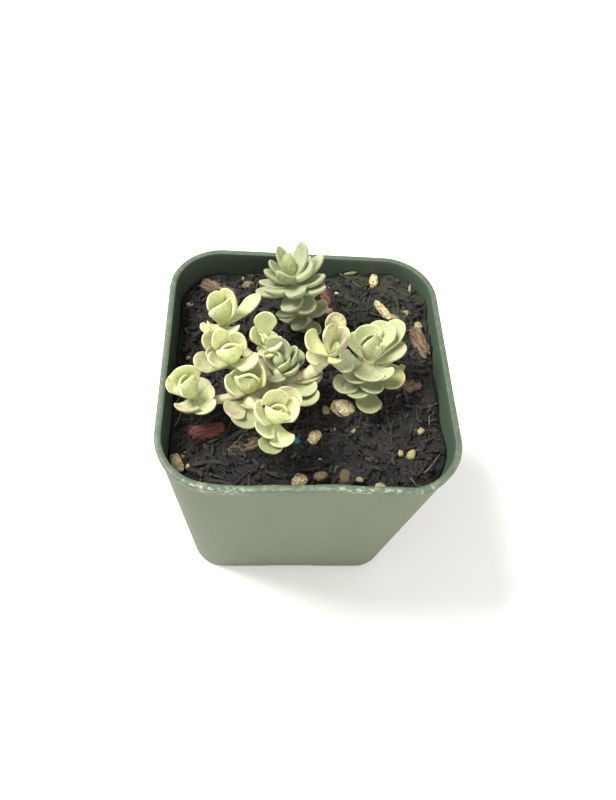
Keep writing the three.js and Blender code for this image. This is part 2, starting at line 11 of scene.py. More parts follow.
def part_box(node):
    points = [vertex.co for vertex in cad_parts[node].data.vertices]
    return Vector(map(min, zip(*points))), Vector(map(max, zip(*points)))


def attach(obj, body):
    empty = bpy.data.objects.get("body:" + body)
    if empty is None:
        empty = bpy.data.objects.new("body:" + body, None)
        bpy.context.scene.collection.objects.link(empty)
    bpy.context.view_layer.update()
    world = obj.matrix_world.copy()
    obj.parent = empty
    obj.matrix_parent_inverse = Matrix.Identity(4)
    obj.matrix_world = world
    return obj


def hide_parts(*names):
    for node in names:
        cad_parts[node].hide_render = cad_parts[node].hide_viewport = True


bl_info = {
    "name": "Potted sedum",
    "version": (1, 0, 0),
    "blender": (4, 5, 0),
    "location": "3D View > Sidebar > Sedum",
    "description": "Builds the fine pieces and finishes of a potted stonecrop",
    "category": "Object",
}

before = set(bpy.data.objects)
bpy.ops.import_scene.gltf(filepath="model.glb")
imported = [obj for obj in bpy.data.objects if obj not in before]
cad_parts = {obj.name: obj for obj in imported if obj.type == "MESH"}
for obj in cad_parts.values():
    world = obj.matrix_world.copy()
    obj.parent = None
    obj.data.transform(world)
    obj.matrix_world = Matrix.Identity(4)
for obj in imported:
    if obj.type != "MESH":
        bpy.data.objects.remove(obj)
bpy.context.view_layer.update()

# Sizes are in millimetres, as in the solid model, and MM turns them into Blender's metres.
MM = 0.001
POT_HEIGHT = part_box("pot")[1].z / MM
RIM_SIDE = 63.5
RIM_CORNER = 12
BASE_SIDE = 53.6
BASE_CORNER = 8.4
WALL = 1.1
LIP_HEIGHT = 2.2
LIP_PROUD = 0.35
RIM_CHAMFER = 0.3
SHARP_ANGLE = 38
FOOT_HEIGHT = 1.3
FOOT_CHAMFER = 0.8
FLOOR_TOP = 2.7
FLOOR_FILLET = (1.4, 2)
NOTCH_WIDTH = 12.5
NOTCH_SLOPE = 1.6
DRAIN_RADIUS = 3.2
DRAIN_SIDES = 40
DRAIN_OFFSET = 15.5
# One drain hole is in the middle, and one in each channel between the feet.
DRAINS = ((0, 0), (1, 0), (-1, 0), (0, 1), (0, -1))

GAP = 0.3
SOIL_LEVEL = 57.6
SOIL_SLOPE = (0.055, 0.04)
SOIL_RELIEF = 0.75
SOIL_EDGE_DROP = 0.8
SOIL_RINGS = 64

# The thin rim waves a little, most in front. The wave starts at a share of the pot's height, and WAVE_IN
# and WAVE_UP are how much of it moves the rim in and up.
WAVE_START = 0.72
WAVE_IN = 0.5
WAVE_UP = 0.55
HOLE_DEPTH = 5
COLLAR = 1.8

# Leaves start LEAF_FOOT from the middle of their stem. A branch is BRANCH_FOOT times as thick at the
# crown as at its rosette, and ends NECK_SINK inside the rosette's core.
GOLDEN_TURN = 137.5
LEAF_FOOT = 0.4
NECK_SINK = 0.4
BRANCH_FOOT = 1.25
CORE_RADIUS = 1.05

# Scars and swellings come one after another along a stem, as waves in radians a millimetre.
SCAR_WAVE = 4.2
SWELL_WAVE = 1.7

# cup is a share of a leaf's width and curl of its length. The bowl of a leaf starts at a share of its
# length. LEAF_BLUNT below 1 makes its section fuller than an ellipse.
LEAF_THICK = 1.35
POINTED_THICK = 1.9
INNER_CUP = 0.34
OUTER_CUP = 0.2
INNER_CURL = 0.2
OUTER_CURL = 0.1
BOWL_START = 0.55
LEAF_BLUNT = 0.68

# Bark has square ends and pumice is round. Each kind starts its own run of shapes, and lumps blunter
# than GROOVED_FROM have the grooves of bark. A detail one higher splits each triangle of a ball in four.
BARK_BLUNT = 1.9
BARK_FIRST_SHAPE = 1
GROOVED_FROM = 1.5
PUMICE_BLUNT = 1.1
PUMICE_FIRST_SHAPE = 11
CHIP_DETAIL = 5
GRAIN_DETAIL = 3
CRUMB_DETAIL = 2

# One bark shred in PLANK_EVERY is a plank and the others are chaff. Pairs are the limits of a draw.
PLANK_EVERY = 14
PLANK = {"wide": (0.6, 1.3), "bend": 0.14, "stations": 12, "lift": (0.1, 0.45), "blunt": 7}
CHAFF = {"wide": (0.35, 1.15), "bend": 0.35, "stations": 6, "lift": (-0.1, 0.4), "blunt": 2.5}
LITTER_SEED = 7
GRAIN_SEED = 19
BEAD_PLACE = (-2.6, -17.5)
BEAD_SIZE = (1.7, 1.7, 1.6)
BEAD_COLOUR = (0.008, 0.085, 0.09)

# place is x and y on the mix, heading and lean are in degrees, and size is length, width and
# thickness. sunk is the share of the thickness that is below the surface.
CHIPS = {
    "bark_long": ((-19.6, 23.4), -22, 4, (12, 3.8, 1.6), 0.45),
    "bark_right": ((27, 8.6), -74, 6, (8, 3, 1.8), 0.45),
    "bark_front": ((-13.2, -18), 24, 3, (9, 2.6, 1.5), 0.5),
    "bark_under_right": ((22.3, -3.2), 12, 3, (9, 3, 1.6), 0.5),
    "bark_red_left": ((-21.6, -14.8), 8, -5, (7, 3.2, 2), 0.4),
    "bark_red_back": ((5, 22.6), -72, 4, (8, 2.6, 2), 0.4),
}
PEBBLES = {
    "pumice_large": ((8, -9.3), -28, 0, (5.6, 3.8, 3.4), 0.35),
    "pumice_middle": ((1.4, -16.2), 60, 0, (3.6, 2.6, 2.4), 0.35),
    "pumice_front": ((-2, -26.6), 10, 0, (3, 2.9, 2.6), 0.3),
    "pumice_back": ((17.6, 27.4), 84, 0, (4.2, 2.2, 2), 0.3),
    "pumice_stick": ((18.8, 17.6), -62, 0, (6.5, 2, 1.9), 0.35),
    "pumice_corner": ((-27.6, -22.2), -68, 0, (4.4, 2.5, 2.2), 0.35),
}

# Small bits on the mix: place, heading, long, wide, how pale and how green. Below 0 pale means red.
SMALL_BITS = (
    (22, -20.6, 60, 2.4, 1.7, 0.7, 0.65),
    (19.7, -20.3, 80, 1.5, 1.2, 0.75, 0.6),
    (24.7, -14.9, 40, 1.8, 1.4, 0.8, 0),
    (9.7, -14.8, 60, 1.8, 1.2, 0.8, 0.5),
    (14.8, -27.8, 0, 2.2, 1.6, 0.7, 0.55),
    (4, -9.7, 90, 2.2, 1.8, 0.4, 0.3),
    (5.4, -14.6, 30, 1.4, 0.9, 0.6, 0.3),
    (7.7, -25.2, 70, 3.4, 2.6, 0.12, 0.15),
    (10.4, -26.6, 0, 1.5, 1.2, 0.5, 0.4),
    (2.2, -25.9, 10, 2.8, 2, 0.22, 0.05),
    (16.1, -8.8, 70, 2.4, 1.3, 0.45, 0.5),
    (27.1, 13, 60, 2.4, 2, 0.75, 0.45),
    (-25.8, -20.2, 30, 2, 1.5, 0.7, 0.35),
    (-13.7, 25.8, 15, 2.6, 2, 0.3, 0),
    (21.5, 15.3, -20, 2.8, 1.7, 0.55, 0),
    (5.9, 24.1, 70, 1.6, 1.2, 0.5, 0),
    (6.1, 17.7, 40, 2.4, 1.8, 0.5, 0),
    (24.7, 17.7, -30, 2.2, 1.4, 0.6, 0.6),
    (-15, 28.4, 80, 1.6, 0.7, 0.7, 0),
    (26.4, 24.8, 80, 2.4, 0.7, 0.6, 0.1),
    (-27.4, 19, 10, 1.8, 1.1, 0.7, 0.1),
    (21.8, 0.8, 60, 2.6, 1.8, 0.75, 0.15),
    (11.7, 29.2, 10, 3, 0.8, 0.4, 0.4),
    (12.6, 27.9, -15, 2.6, 0.7, 0.35, 0.3),
    (-27.6, 12.6, 50, 1.5, 1.1, 0.45, 0.6),
    (-26.8, 4, 20, 1.3, 1, 0.4, 0.5),
    (27.8, -8.6, 25, 3.6, 0.5, -0.3, 0),
    (26.6, -6.8, 40, 2.8, 0.4, -0.2, 0),
    (25.2, 3.4, 70, 2.6, 0.45, -0.2, 0),
    (24.2, -19, 10, 2.4, 0.4, -0.2, 0),
)
# Twigs lying on the mix: where each starts and ends.
TWIGS = (
    ((-28.6, -13), (-26.6, -4.6)),
    ((-29, -8.4), (-27.2, -1)),
    ((-17.6, -19.4), (-12, -15.6)),
    ((26.6, -13.4), (28.6, -9.6)),
    ((21.4, -26.6), (23.2, -28)),
    ((24.6, -25), (27.6, -21)),
    ((20, -6.6), (25.6, -2.2)),
)

# Rosettes. apex is where the innermost leaves meet and axis is the way that the rosette faces.
# A row of leaves is turn, open, length, width and how far below the apex the leaf is set.
ROSETTES = {
    "rosette_front": {
        "apex": (-7.6, -17.9, 67.6),
        "axis": (0.06, -0.1, 1),
        "core": 2.6,
        "leaves": [
            (160, 12, 2.8, 2.4, 0), (330, 14, 2.8, 2.4, 0.1),
            (246, 30, 4.8, 5, 1), (75, 36, 4.4, 3.6, 0.5), (100, 46, 7.2, 5.6, 0.7),
            (8, 54, 6.8, 5.2, 1), (190, 57, 6.8, 5.4, 1.2), (60, 70, 7.6, 6, 1.5),
            (232, 74, 5.8, 5, 1.8), (290, 86, 6.4, 5.4, 2.2), (260, 88, 7.4, 5.2, 2.6),
        ],
    },
    "rosette_middle": {
        "apex": (-13.3, -9.6, 65.6),
        "axis": (0, -0.08, 1),
        "core": 2.6,
        "leaves": [
            (20, 12, 2.8, 2.6, 0), (200, 14, 3, 2.8, 0.1),
            (80, 28, 5, 4.8, 0.3), (345, 32, 3.8, 3.2, 0.5), (272, 25, 5.2, 5.8, 1.7),
            (36, 54, 6.6, 6.6, 1), (206, 58, 7, 5.4, 1.3), (139, 66, 5.4, 4.6, 1.5),
            (288, 78, 6, 5.2, 1.9), (345, 88, 5, 4.6, 2.4),
        ],
    },
    "rosette_left": {
        "apex": (-24.6, -10.4, 63.6),
        "axis": (-0.1, -0.05, 1),
        "core": 2.6,
        "leaves": [
            (98, 12, 3, 2.6, 0), (270, 14, 2.8, 2.6, 0.1),
            (168, 38, 5.8, 5.2, 0.6), (86, 30, 5, 3.4, 0.4), (322, 20, 6.2, 5, 0.9),
            (109, 52, 7.2, 6.4, 1), (150, 75, 6.6, 5, 1.3), (254, 72, 5.8, 5.6, 1.6),
            (311, 80, 6.4, 5.2, 1.8), (4, 76, 5.2, 4, 2.1), (64, 92, 5.2, 4.6, 2.6),
        ],
    },
    "rosette_upper": {
        "apex": (-16.9, -4.4, 68.2),
        "axis": (0.02, -0.14, 1),
        "core": 2.6,
        "leaves": [
            (200, 10, 2.6, 2.4, 0), (20, 14, 3, 2.6, 0.1),
            (106, 34, 5, 4.8, 0.3), (286, 26, 4.8, 5.8, 0.7), (133, 50, 8, 4.6, 0.8),
            (60, 45, 7.4, 4.6, 1), (332, 64, 7.4, 5, 1.2), (198, 64, 6.2, 4.2, 1.5),
            (193, 80, 8.2, 4.8, 1.9), (172, 66, 6.4, 3.6, 1.7), (138, 68, 8.6, 4.8, 2.2),
        ],
    },
    "rosette_back_left": {
        "apex": (-19.1, 6.6, 67.2),
        "axis": (-0.05, 0.02, 1),
        "core": 2.6,
        "leaves": [
            (150, 16, 3.6, 2.6, 0), (330, 18, 3, 2.6, 0.1),
            (34, 42, 7.8, 6.4, 0.5), (138, 38, 7.6, 5, 0.7), (314, 26, 5.8, 6.2, 0.9),
            (25, 74, 10.4, 4.2, 1.4), (238, 65, 5, 4.4, 1.9), (297, 76, 5.6, 5, 1.8),
            (214, 80, 5.4, 4.6, 2.3), (92, 88, 5, 4.6, 2.6),
        ],
    },
    "rosette_small": {
        "apex": (-10.3, 1.5, 66.4),
        "axis": (0.06, -0.05, 1),
        "core": 2.6,
        "leaves": [
            (220, 10, 2.6, 2.4, 0), (20, 16, 2.8, 2.6, 0.1),
            (88, 39, 8, 5, 0.4), (169, 49, 5.2, 3.6, 0.7), (329, 62, 5.8, 4.2, 0.9),
            (284, 74, 5, 4.4, 1.4), (46, 92, 4.6, 4.2, 2),
        ],
    },
    "rosette_leaning": {
        "apex": (3.8, -3.6, 70.8),
        "axis": (0.25, -0.05, 1),
        "core": 2.8,
        "leaves": [
            (200, 10, 3, 2.4, 0), (137, 46, 7, 4, 0.3),
            (92, 62, 8.6, 4.6, 0.6), (166, 84, 6.8, 6, 0.8), (62, 44, 7, 3.4, 0.9),
            (346, 26, 7.2, 4.2, 1.2), (284, 69, 3.8, 3.2, 1.2), (199, 96, 5, 3.8, 2),
            (332, 92, 5.8, 4.2, 1.8),
        ],
    },
}

# Columns: a stem in the mix with leaves from its foot to its tip. root, waist and apex give the stem's
# curve, and leaves are rows like those of a rosette. lower leaves are set by a rule, from one height
# below the apex to another.
COLUMNS = {
    "column_back": {
        "root": (0.2, 12.4),
        "waist": (-1.6, 13, 65.5),
        "apex": (-4.2, 14, 74.2),
        "radius": (1.6, 1.4),
        "pointed": True,
        "leaves": [
            (281, 4, 5.4, 4.2, 0.1), (124, 31, 8, 3.8, 0.5), (36, 52, 8.2, 6.2, 0.7), (342, 66, 7, 5.6, 0.8),
            (238, 52, 6.2, 5, 1), (21, 80, 8.6, 5, 1.6), (170, 49, 7.2, 4, 1.4), (191, 59, 7.6, 4.4, 1.7),
            (281, 82, 7.6, 6, 2.2), (337, 79, 8.4, 5, 2.3), (195, 73, 8.2, 4.4, 2.5), (220, 73, 8.4, 5, 2.8),
            (90, 66, 7, 5, 2.6), (55, 80, 7.4, 5, 3), (325, 85, 8.6, 5, 3.2), (185, 90, 8.8, 4.8, 3.7),
            (259, 88, 8, 6, 4.9), (292, 96, 8, 6.8, 5.4),
        ],
        "lower": {
            "count": 12, "from": 6.4, "to": 15, "phase": 10, "open": (82, 98), "length": 6.3, "aspect": 0.8,
        },
    },
    "column_right": {
        "root": (12.8, -2.6),
        "waist": (13.2, -2.6, 61),
        "apex": (12.8, -1.6, 67.2),
        "radius": (1.6, 1.3),
        "pointed": False,
        "leaves": [
            (150, 12, 3, 2.8, 0), (322, 20, 3.4, 3, 0.2),
            (100, 30, 5.6, 5, 0.3), (322, 26, 6.4, 5.4, 0.9), (226, 28, 5.2, 5, 1),
            (97, 62, 7.2, 6.4, 0.9), (54, 62, 8.8, 6.6, 1.2), (125, 72, 7.2, 5.2, 1.6),
            (37, 68, 11.2, 5.6, 1.8), (262, 90, 7.4, 6.8, 1.9), (295, 88, 7.4, 5.6, 2.2),
            (11, 78, 8.8, 6, 2.4), (229, 93, 7.8, 5.6, 2.6), (175, 80, 7, 5, 3),
            (272, 93, 8, 5.4, 4.4), (219, 97, 9.6, 6, 4.6), (326, 92, 8.6, 6, 4.8),
            (243, 98, 9, 6, 4.8), (36, 88, 8, 5.6, 4.4), (88, 88, 7.6, 5.8, 4.6),
            (268, 103, 9.8, 6, 6.4), (4, 96, 8, 5.6, 6),
        ],
    },
    "branching_stem": {
        "root": (-5, -5.6),
        "waist": (-5.8, -5, 61.2),
        "apex": (-6.6, -3.9, 64.6),
        "radius": (2, 1.4),
        "pointed": False,
        "leaves": [
            (250, 16, 3, 2.8, 0), (315, 61, 4.2, 4, 0.2), (30, 24, 4.6, 3.4, 0.3),
            (6, 58, 6.8, 5, 0.9), (64, 39, 7.6, 6.2, 1), (324, 77, 5.6, 4.6, 0.8), (263, 88, 5, 4.2, 1),
            (150, 46, 6, 4, 1.4), (343, 98, 8.8, 5.4, 2.2), (40, 78, 7.4, 5.2, 2.6), (108, 66, 7, 5.4, 2.6),
            (316, 98, 9.6, 5.4, 2.8), (312, 104, 11.4, 5.8, 4), (250, 84, 9, 6, 4.2),
            (130, 80, 8, 5.4, 4.4), (284, 92, 9.4, 5.8, 5), (80, 90, 7.8, 5.4, 5), (0, 94, 9, 5.6, 5.2),
        ],
    },
}

# The bare branches of the branching stem. Each runs from its crown by way of a bend to a rosette.
CROWN = (-5.9, -4.9, 61.4)
BRANCHES = {
    "rosette_front": ((-12.6, -12.4, 64.2), 1.2),
    "rosette_middle": ((-11, -8, 63.4), 1.1),
    "rosette_left": ((-17.6, -10, 62), 0.95),
    "rosette_upper": ((-13.4, -3.8, 64.6), 1.1),
    "rosette_back_left": ((-14, 1.4, 63.2), 1.05),
    "rosette_small": ((-9.4, -0.2, 64), 1),
    "rosette_leaning": ((-0.8, -5.4, 65), 1.2),
}

# Old leaves that hang under the bend of a branch, in rows like those of a rosette.
HANGING_BRANCH = "rosette_front"
HANGING_LEAVES = [(256, 88, 7.2, 6, 7.4), (222, 84, 6.8, 5.6, 8)]

# Leaves that look unlike their neighbours: how old, how pink and how yellow each is, from 0 to 1.
# The low leaves, such as the last of rosette_front and of column_right and the hanging ones, are old and
# yellow partly as painted shade.
MARKED_LEAVES = {
    ("rosette_leaning", 1): (0.3, 0.9, 0.1),
    ("rosette_leaning", 2): (0.35, 0.8, 0.1),
    ("rosette_leaning", 3): (0.15, 0, 0.4),
    ("rosette_leaning", 5): (0.7, 1, 0.2),
    ("rosette_leaning", 6): (0.1, 0.5, 0.4),
    ("rosette_upper", 8): (0.6, 0.9, 0.1),
    ("rosette_upper", 9): (0.6, 0.8, 0.1),
    ("rosette_middle", 4): (0.15, 0.6, 0.2),
    ("rosette_middle", 8): (0.3, 0.8, 0),
    ("rosette_middle", 5): (0.3, 0.4, 0.2),
    ("rosette_left", 7): (0.6, 0.9, 0.1),
    ("rosette_front", 7): (0.45, 0.8, 0),
    ("rosette_front", 10): (1, 0.1, 0.8),
    ("rosette_back_left", 5): (0.3, 0.7, 0),
    ("column_right", 17): (0.9, 0.5, 0.2),
    ("column_right", 15): (0.9, 0.4, 0.2),
    ("column_right", 16): (0.4, 0.3, 0.9),
    ("column_right", 20): (1, 0.1, 0.75),
    ("branching_stem", 11): (0.8, 0.2, 0.2),
    ("branching_stem", 12): (0.8, 0.3, 0.4),
    ("hanging", 0): (1, 0.2, 0.4),
    ("hanging", 1): (0.8, 0.9, 0.2),
}

# How old and how pink the leaves of each shoot are, from 0 to 1, before a leaf's place and chance
# change it.
ROSETTE_TINTS = {
    "rosette_front": (0, 0.3),
    "rosette_middle": (0.12, 0.4),
    "rosette_left": (0.08, 0.36),
    "rosette_upper": (0.06, 0.4),
    "rosette_back_left": (0, 0.25),
    "rosette_small": (0.08, 0.25),
    "rosette_leaning": (0.08, 0.35),
}
COLUMN_TINTS = {
    "column_back": (0.84, 0.4),
    "column_right": (0.54, 0.14),
    "branching_stem": (0.76, 0.2),
}

# The camera looks at a target in the pot from in front and above, a little turned about its own axis.
CAMERA_TARGET = (1.7, 0.7, 45)
CAMERA_DISTANCE = 157.5
CAMERA_AZIMUTH = -10.7
CAMERA_ELEVATION = 57.7
CAMERA_ROLL = 10.6
SENSOR = 36
FOCAL_PIXELS = 640.7
PICTURE_HEIGHT = 800

# Lamps are round disks: the place and the width of each, in metres.
TOP_LAMP = ((-0.3, 0.12, 0.5), 0.26)
FRONT_LAMP = ((0.22, -0.5, 0.42), 0.5)
LAMP_AIM = (0, 0, 0.05)
SKY_COLOUR = (1, 1, 0.985, 1)

# The floor lies this many millimetres under the pot, and is faintly clouded.
FLOOR_DROP = 0.05
FLOOR_CLOUD_COLOUR = (0.86, 0.86, 0.85)


def vary(i, kind):
    """A repeatable value from -1 to 1 for the i-th thing of a kind."""
    wave = math.sin(i * 12.9898 + kind * 78.233) * 43758.5453
    return 2 * (wave - math.floor(wave)) - 1


def lerp(a, b, share):
    """The value that is a share of the way from a to b."""
    return a + (b - a) * share


def unit(v):
    """The same direction with length 1."""
    v = np.asarray(v, float)
    return v / np.linalg.norm(v)


def soil_height(x, y):
    """The top of the mix, as in the solid model."""
    clods = (
        np.sin(0.55 * x + 1.3) * np.cos(0.48 * y - 0.6)
        + 0.7 * np.sin(1.15 * x - 0.8 * y + 0.4) * np.cos(0.9 * y + 0.5 * x)
        + 0.4 * np.sin(2.1 * x + 1.7 * y) * np.sin(1.9 * y - 1.2 * x + 0.9)
    )
    edge = np.maximum(np.abs(x), np.abs(y)) / (RIM_SIDE / 2)
    return SOIL_LEVEL + SOIL_SLOPE[0] * x + SOIL_SLOPE[1] * y + SOIL_RELIEF * clods - SOIL_EDGE_DROP * edge**6


# Meshes

class Shape:
    """Points, faces and numbers on the points that become one piece."""

    def __init__(self):
        self.points = []
        self.faces = []
        self.marks = {}
        self.count = 0

    def add(self, points, faces, **marks):
        """Adds a closed mesh. Each mark is one number for all its points, or one for each."""
        points = np.asarray(points, float)
        self.points.append(points)
        self.faces.extend([tuple(i + self.count for i in face) for face in faces])
        for name, value in marks.items():
            self.marks.setdefault(name, []).append(np.broadcast_to(value, len(points)).astype(float))
        self.count += len(points)

    def piece(self, name, material, slot, *nodes):
        """The piece itself, which rides on the part and stands for the nodes."""
        mesh = bpy.data.meshes.new(name)
        mesh.from_pydata(np.concatenate(self.points) * MM, [], self.faces)
        for mark, values in self.marks.items():
            layer = mesh.attributes.new(mark, "FLOAT", "POINT")
            layer.data.foreach_set("value", np.concatenate(values).astype(np.float32))
        mesh.shade_smooth()
        mesh.materials.append(material)
        obj = bpy.data.objects.new(name, mesh)
        bpy.context.scene.collection.objects.link(obj)
        if nodes:
            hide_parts(*nodes)
        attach(obj, "root")
        return obj


def ring_faces(rings, sides):
    """Faces of a tube of rings, with a pole before the first ring and one after the last."""
    faces = []
    last = rings * sides + 1
    for k in range(sides):
        after = (k + 1) % sides
        faces.append((0, 1 + after, 1 + k))
        for r in range(rings - 1):
            a = 1 + r * sides
            b = a + sides
            faces.append((a + k, a + after, b + after, b + k))
        top = 1 + (rings - 1) * sides
        faces.append((last, top + k, top + after))
    return faces


def loft(rings, start, end):
    """Points and faces of a closed mesh through rings of equal length."""
    points = np.concatenate([[start], *rings, [end]])
    return points, ring_faces(len(rings), len(rings[0]))


class Way:
    """A smooth curve through points, read by the share of its length."""

    STEPS = 60

    def __init__(self, corners):
        corners = [np.asarray(p, float) for p in corners]
        spread = [2 * corners[0] - corners[1], *corners, 2 * corners[-1] - corners[-2]]
        line = []
        for before, a, b, after in zip(spread, spread[1:], spread[2:], spread[3:]):
            gaps = [max(np.linalg.norm(q - p) ** 0.5, 1e-4) for p, q in ((before, a), (a, b), (b, after))]
            slope_a = (a - before) / gaps[0] - (b - before) / (gaps[0] + gaps[1]) + (b - a) / gaps[1]
            slope_b = (b - a) / gaps[1] - (after - a) / (gaps[1] + gaps[2]) + (after - b) / gaps[2]
            slope_a, slope_b = slope_a * gaps[1], slope_b * gaps[1]
            for t in np.linspace(0, 1, self.STEPS, endpoint=False):
                line.append(
                    a + slope_a * t
                    + (-3 * a + 3 * b - 2 * slope_a - slope_b) * t**2
                    + (2 * a - 2 * b + slope_a + slope_b) * t**3
                )
        line.append(corners[-1])
        self.line = np.array(line)
        steps = np.linalg.norm(np.diff(self.line, axis=0), axis=1)
        self.travel = np.concatenate([[0], np.cumsum(steps)])
        self.length = self.travel[-1]

    def at(self, share):
        """The place at a share of the way's length."""
        return np.array([np.interp(share * self.length, self.travel, self.line[:, k]) for k in range(3)])

    def heading(self, share):
        """The direction of the way at a share of its length."""
        step = 0.01
        return unit(self.at(min(share + step, 1)) - self.at(max(share - step, 0)))


def tube(way, radius, rings, sides):
    """A round tube along a way. radius is a function of the share of its length."""
    side = unit(np.cross(way.heading(0), (0.31, 0.95, 0.12)))
    loops = []
    for share in np.linspace(0, 1, rings):
        heading = way.heading(share)
        side = unit(side - heading * side.dot(heading))
        other = np.cross(heading, side)
        angles = np.linspace(0, 2 * math.pi, sides, endpoint=False)[:, None]
        loops.append(way.at(share) + radius(share) * (side * np.cos(angles) + other * np.sin(angles)))
    end = way.at(1) + way.heading(1) * 0.5 * radius(1)
    return loft(loops, way.at(0), end)


# Shader nodes

class Value:
    """A number in a material's nodes. Python's operators on it add Math nodes."""

    def __init__(self, tree, socket):
        self.tree = tree
        self.socket = socket

    def math(self, operation, first, second):
        return self.tree.value("ShaderNodeMath", {"operation": operation}, {0: first, 1: second})

    def __add__(self, other):
        return self.math("ADD", self, other)

    __radd__ = __add__

    def __sub__(self, other):
        return self.math("SUBTRACT", self, other)

    def __rsub__(self, other):
        return self.math("SUBTRACT", other, self)

    def __mul__(self, other):
        return self.math("MULTIPLY", self, other)

    __rmul__ = __mul__

    def ramp(self, low, high):
        """0 below low and 1 above high, or the other way where low is the larger."""
        return self.tree.value(
            "ShaderNodeMapRange",
            {"interpolation_type": "SMOOTHSTEP"},
            {"Value": self, "From Min": low, "From Max": high},
        )


class Finish:
    """A material, with the few calls that its nodes are made by."""

    def __init__(self, name):
        self.material = bpy.data.materials.new(name)
        self.material.use_nodes = True
        self.nodes = self.material.node_tree.nodes
        self.links = self.material.node_tree.links
        self.shader = self.nodes["Principled BSDF"]
        self.place = self.node("ShaderNodeTexCoord", {}, {}).outputs["Object"]

    def node(self, kind, settings, values):
        """A new node with its settings, and with each input fed by name or number."""
        node = self.nodes.new(kind)
        for name, setting in settings.items():
            setattr(node, name, setting)
        for name, value in values.items():
            self.feed(node.inputs[name], value)
        return node

    def feed(self, socket, value):
        """Links another node's output to the socket, or sets a plain value. None leaves it as it is."""
        if isinstance(value, Value):
            value = value.socket
        if isinstance(value, bpy.types.NodeSocket):
            self.links.new(value, socket)
        elif value is not None:
            socket.default_value = value

    def feed_colour(self, socket, colour):
        """Feeds a colour from another node, or from its three numbers."""
        self.feed(socket, colour if isinstance(colour, bpy.types.NodeSocket) else (*colour, 1))

    def value(self, kind, settings, values, output=0):
        """One output of a new node, as a number that the operators work on."""
        return Value(self, self.node(kind, settings, values).outputs[output])

    def mark(self, name):
        """A number that is stored on the mesh."""
        return self.value("ShaderNodeAttribute", {"attribute_name": name}, {}, "Fac")

    def spots(self, size, detail=3, rough=0.55, stretch=(1, 1, 1), shift=0):
        """Noise from 0 to 1 whose lumps are about size millimetres wide, longer along a stretched axis."""
        scale = [1 / (MM * size * s) for s in stretch]
        settings = {"vector_type": "POINT"}
        mapped = self.node(
            "ShaderNodeMapping", settings, {"Vector": self.place, "Scale": scale, "Location": [shift] * 3}
        )
        values = {"Vector": mapped.outputs[0], "Scale": 1, "Detail": detail, "Roughness": rough}
        return self.value("ShaderNodeTexNoise", {}, values, "Fac")

    def measure(self, axis):
        """Millimetres from under the pot's middle: X to the right, Y to the back and Z up."""
        return self.value("ShaderNodeSeparateXYZ", {}, {"Vector": self.place}, axis) * (1 / MM)

    def mix(self, first, second, share):
        """A colour between two."""
        node = self.node("ShaderNodeMix", {"data_type": "RGBA"}, {})
        self.feed(node.inputs["Factor"], share)
        for name, colour in (("A", first), ("B", second)):
            sockets = [s for s in node.inputs if s.name == name and s.type == "RGBA"]
            self.feed_colour(sockets[0], colour)
        return [s for s in node.outputs if s.type == "RGBA"][0]

    def bump(self, height, depth, strength=1):
        """Relief of a height from 0 to 1 that is depth millimetres deep."""
        values = {"Height": height, "Distance": depth * MM, "Strength": strength}
        return self.node("ShaderNodeBump", {}, values).outputs["Normal"]

    def done(self, colour, roughness, normal=None, **constants):
        """Joins the shader and gives the material."""
        self.feed_colour(self.shader.inputs["Base Color"], colour)
        self.feed(self.shader.inputs["Roughness"], roughness)
        if normal is not None:
            self.feed(self.shader.inputs["Normal"], normal)
        for name, value in constants.items():
            self.shader.inputs[name.replace("_", " ").title().replace("Ior", "IOR")].default_value = value
        return self.material


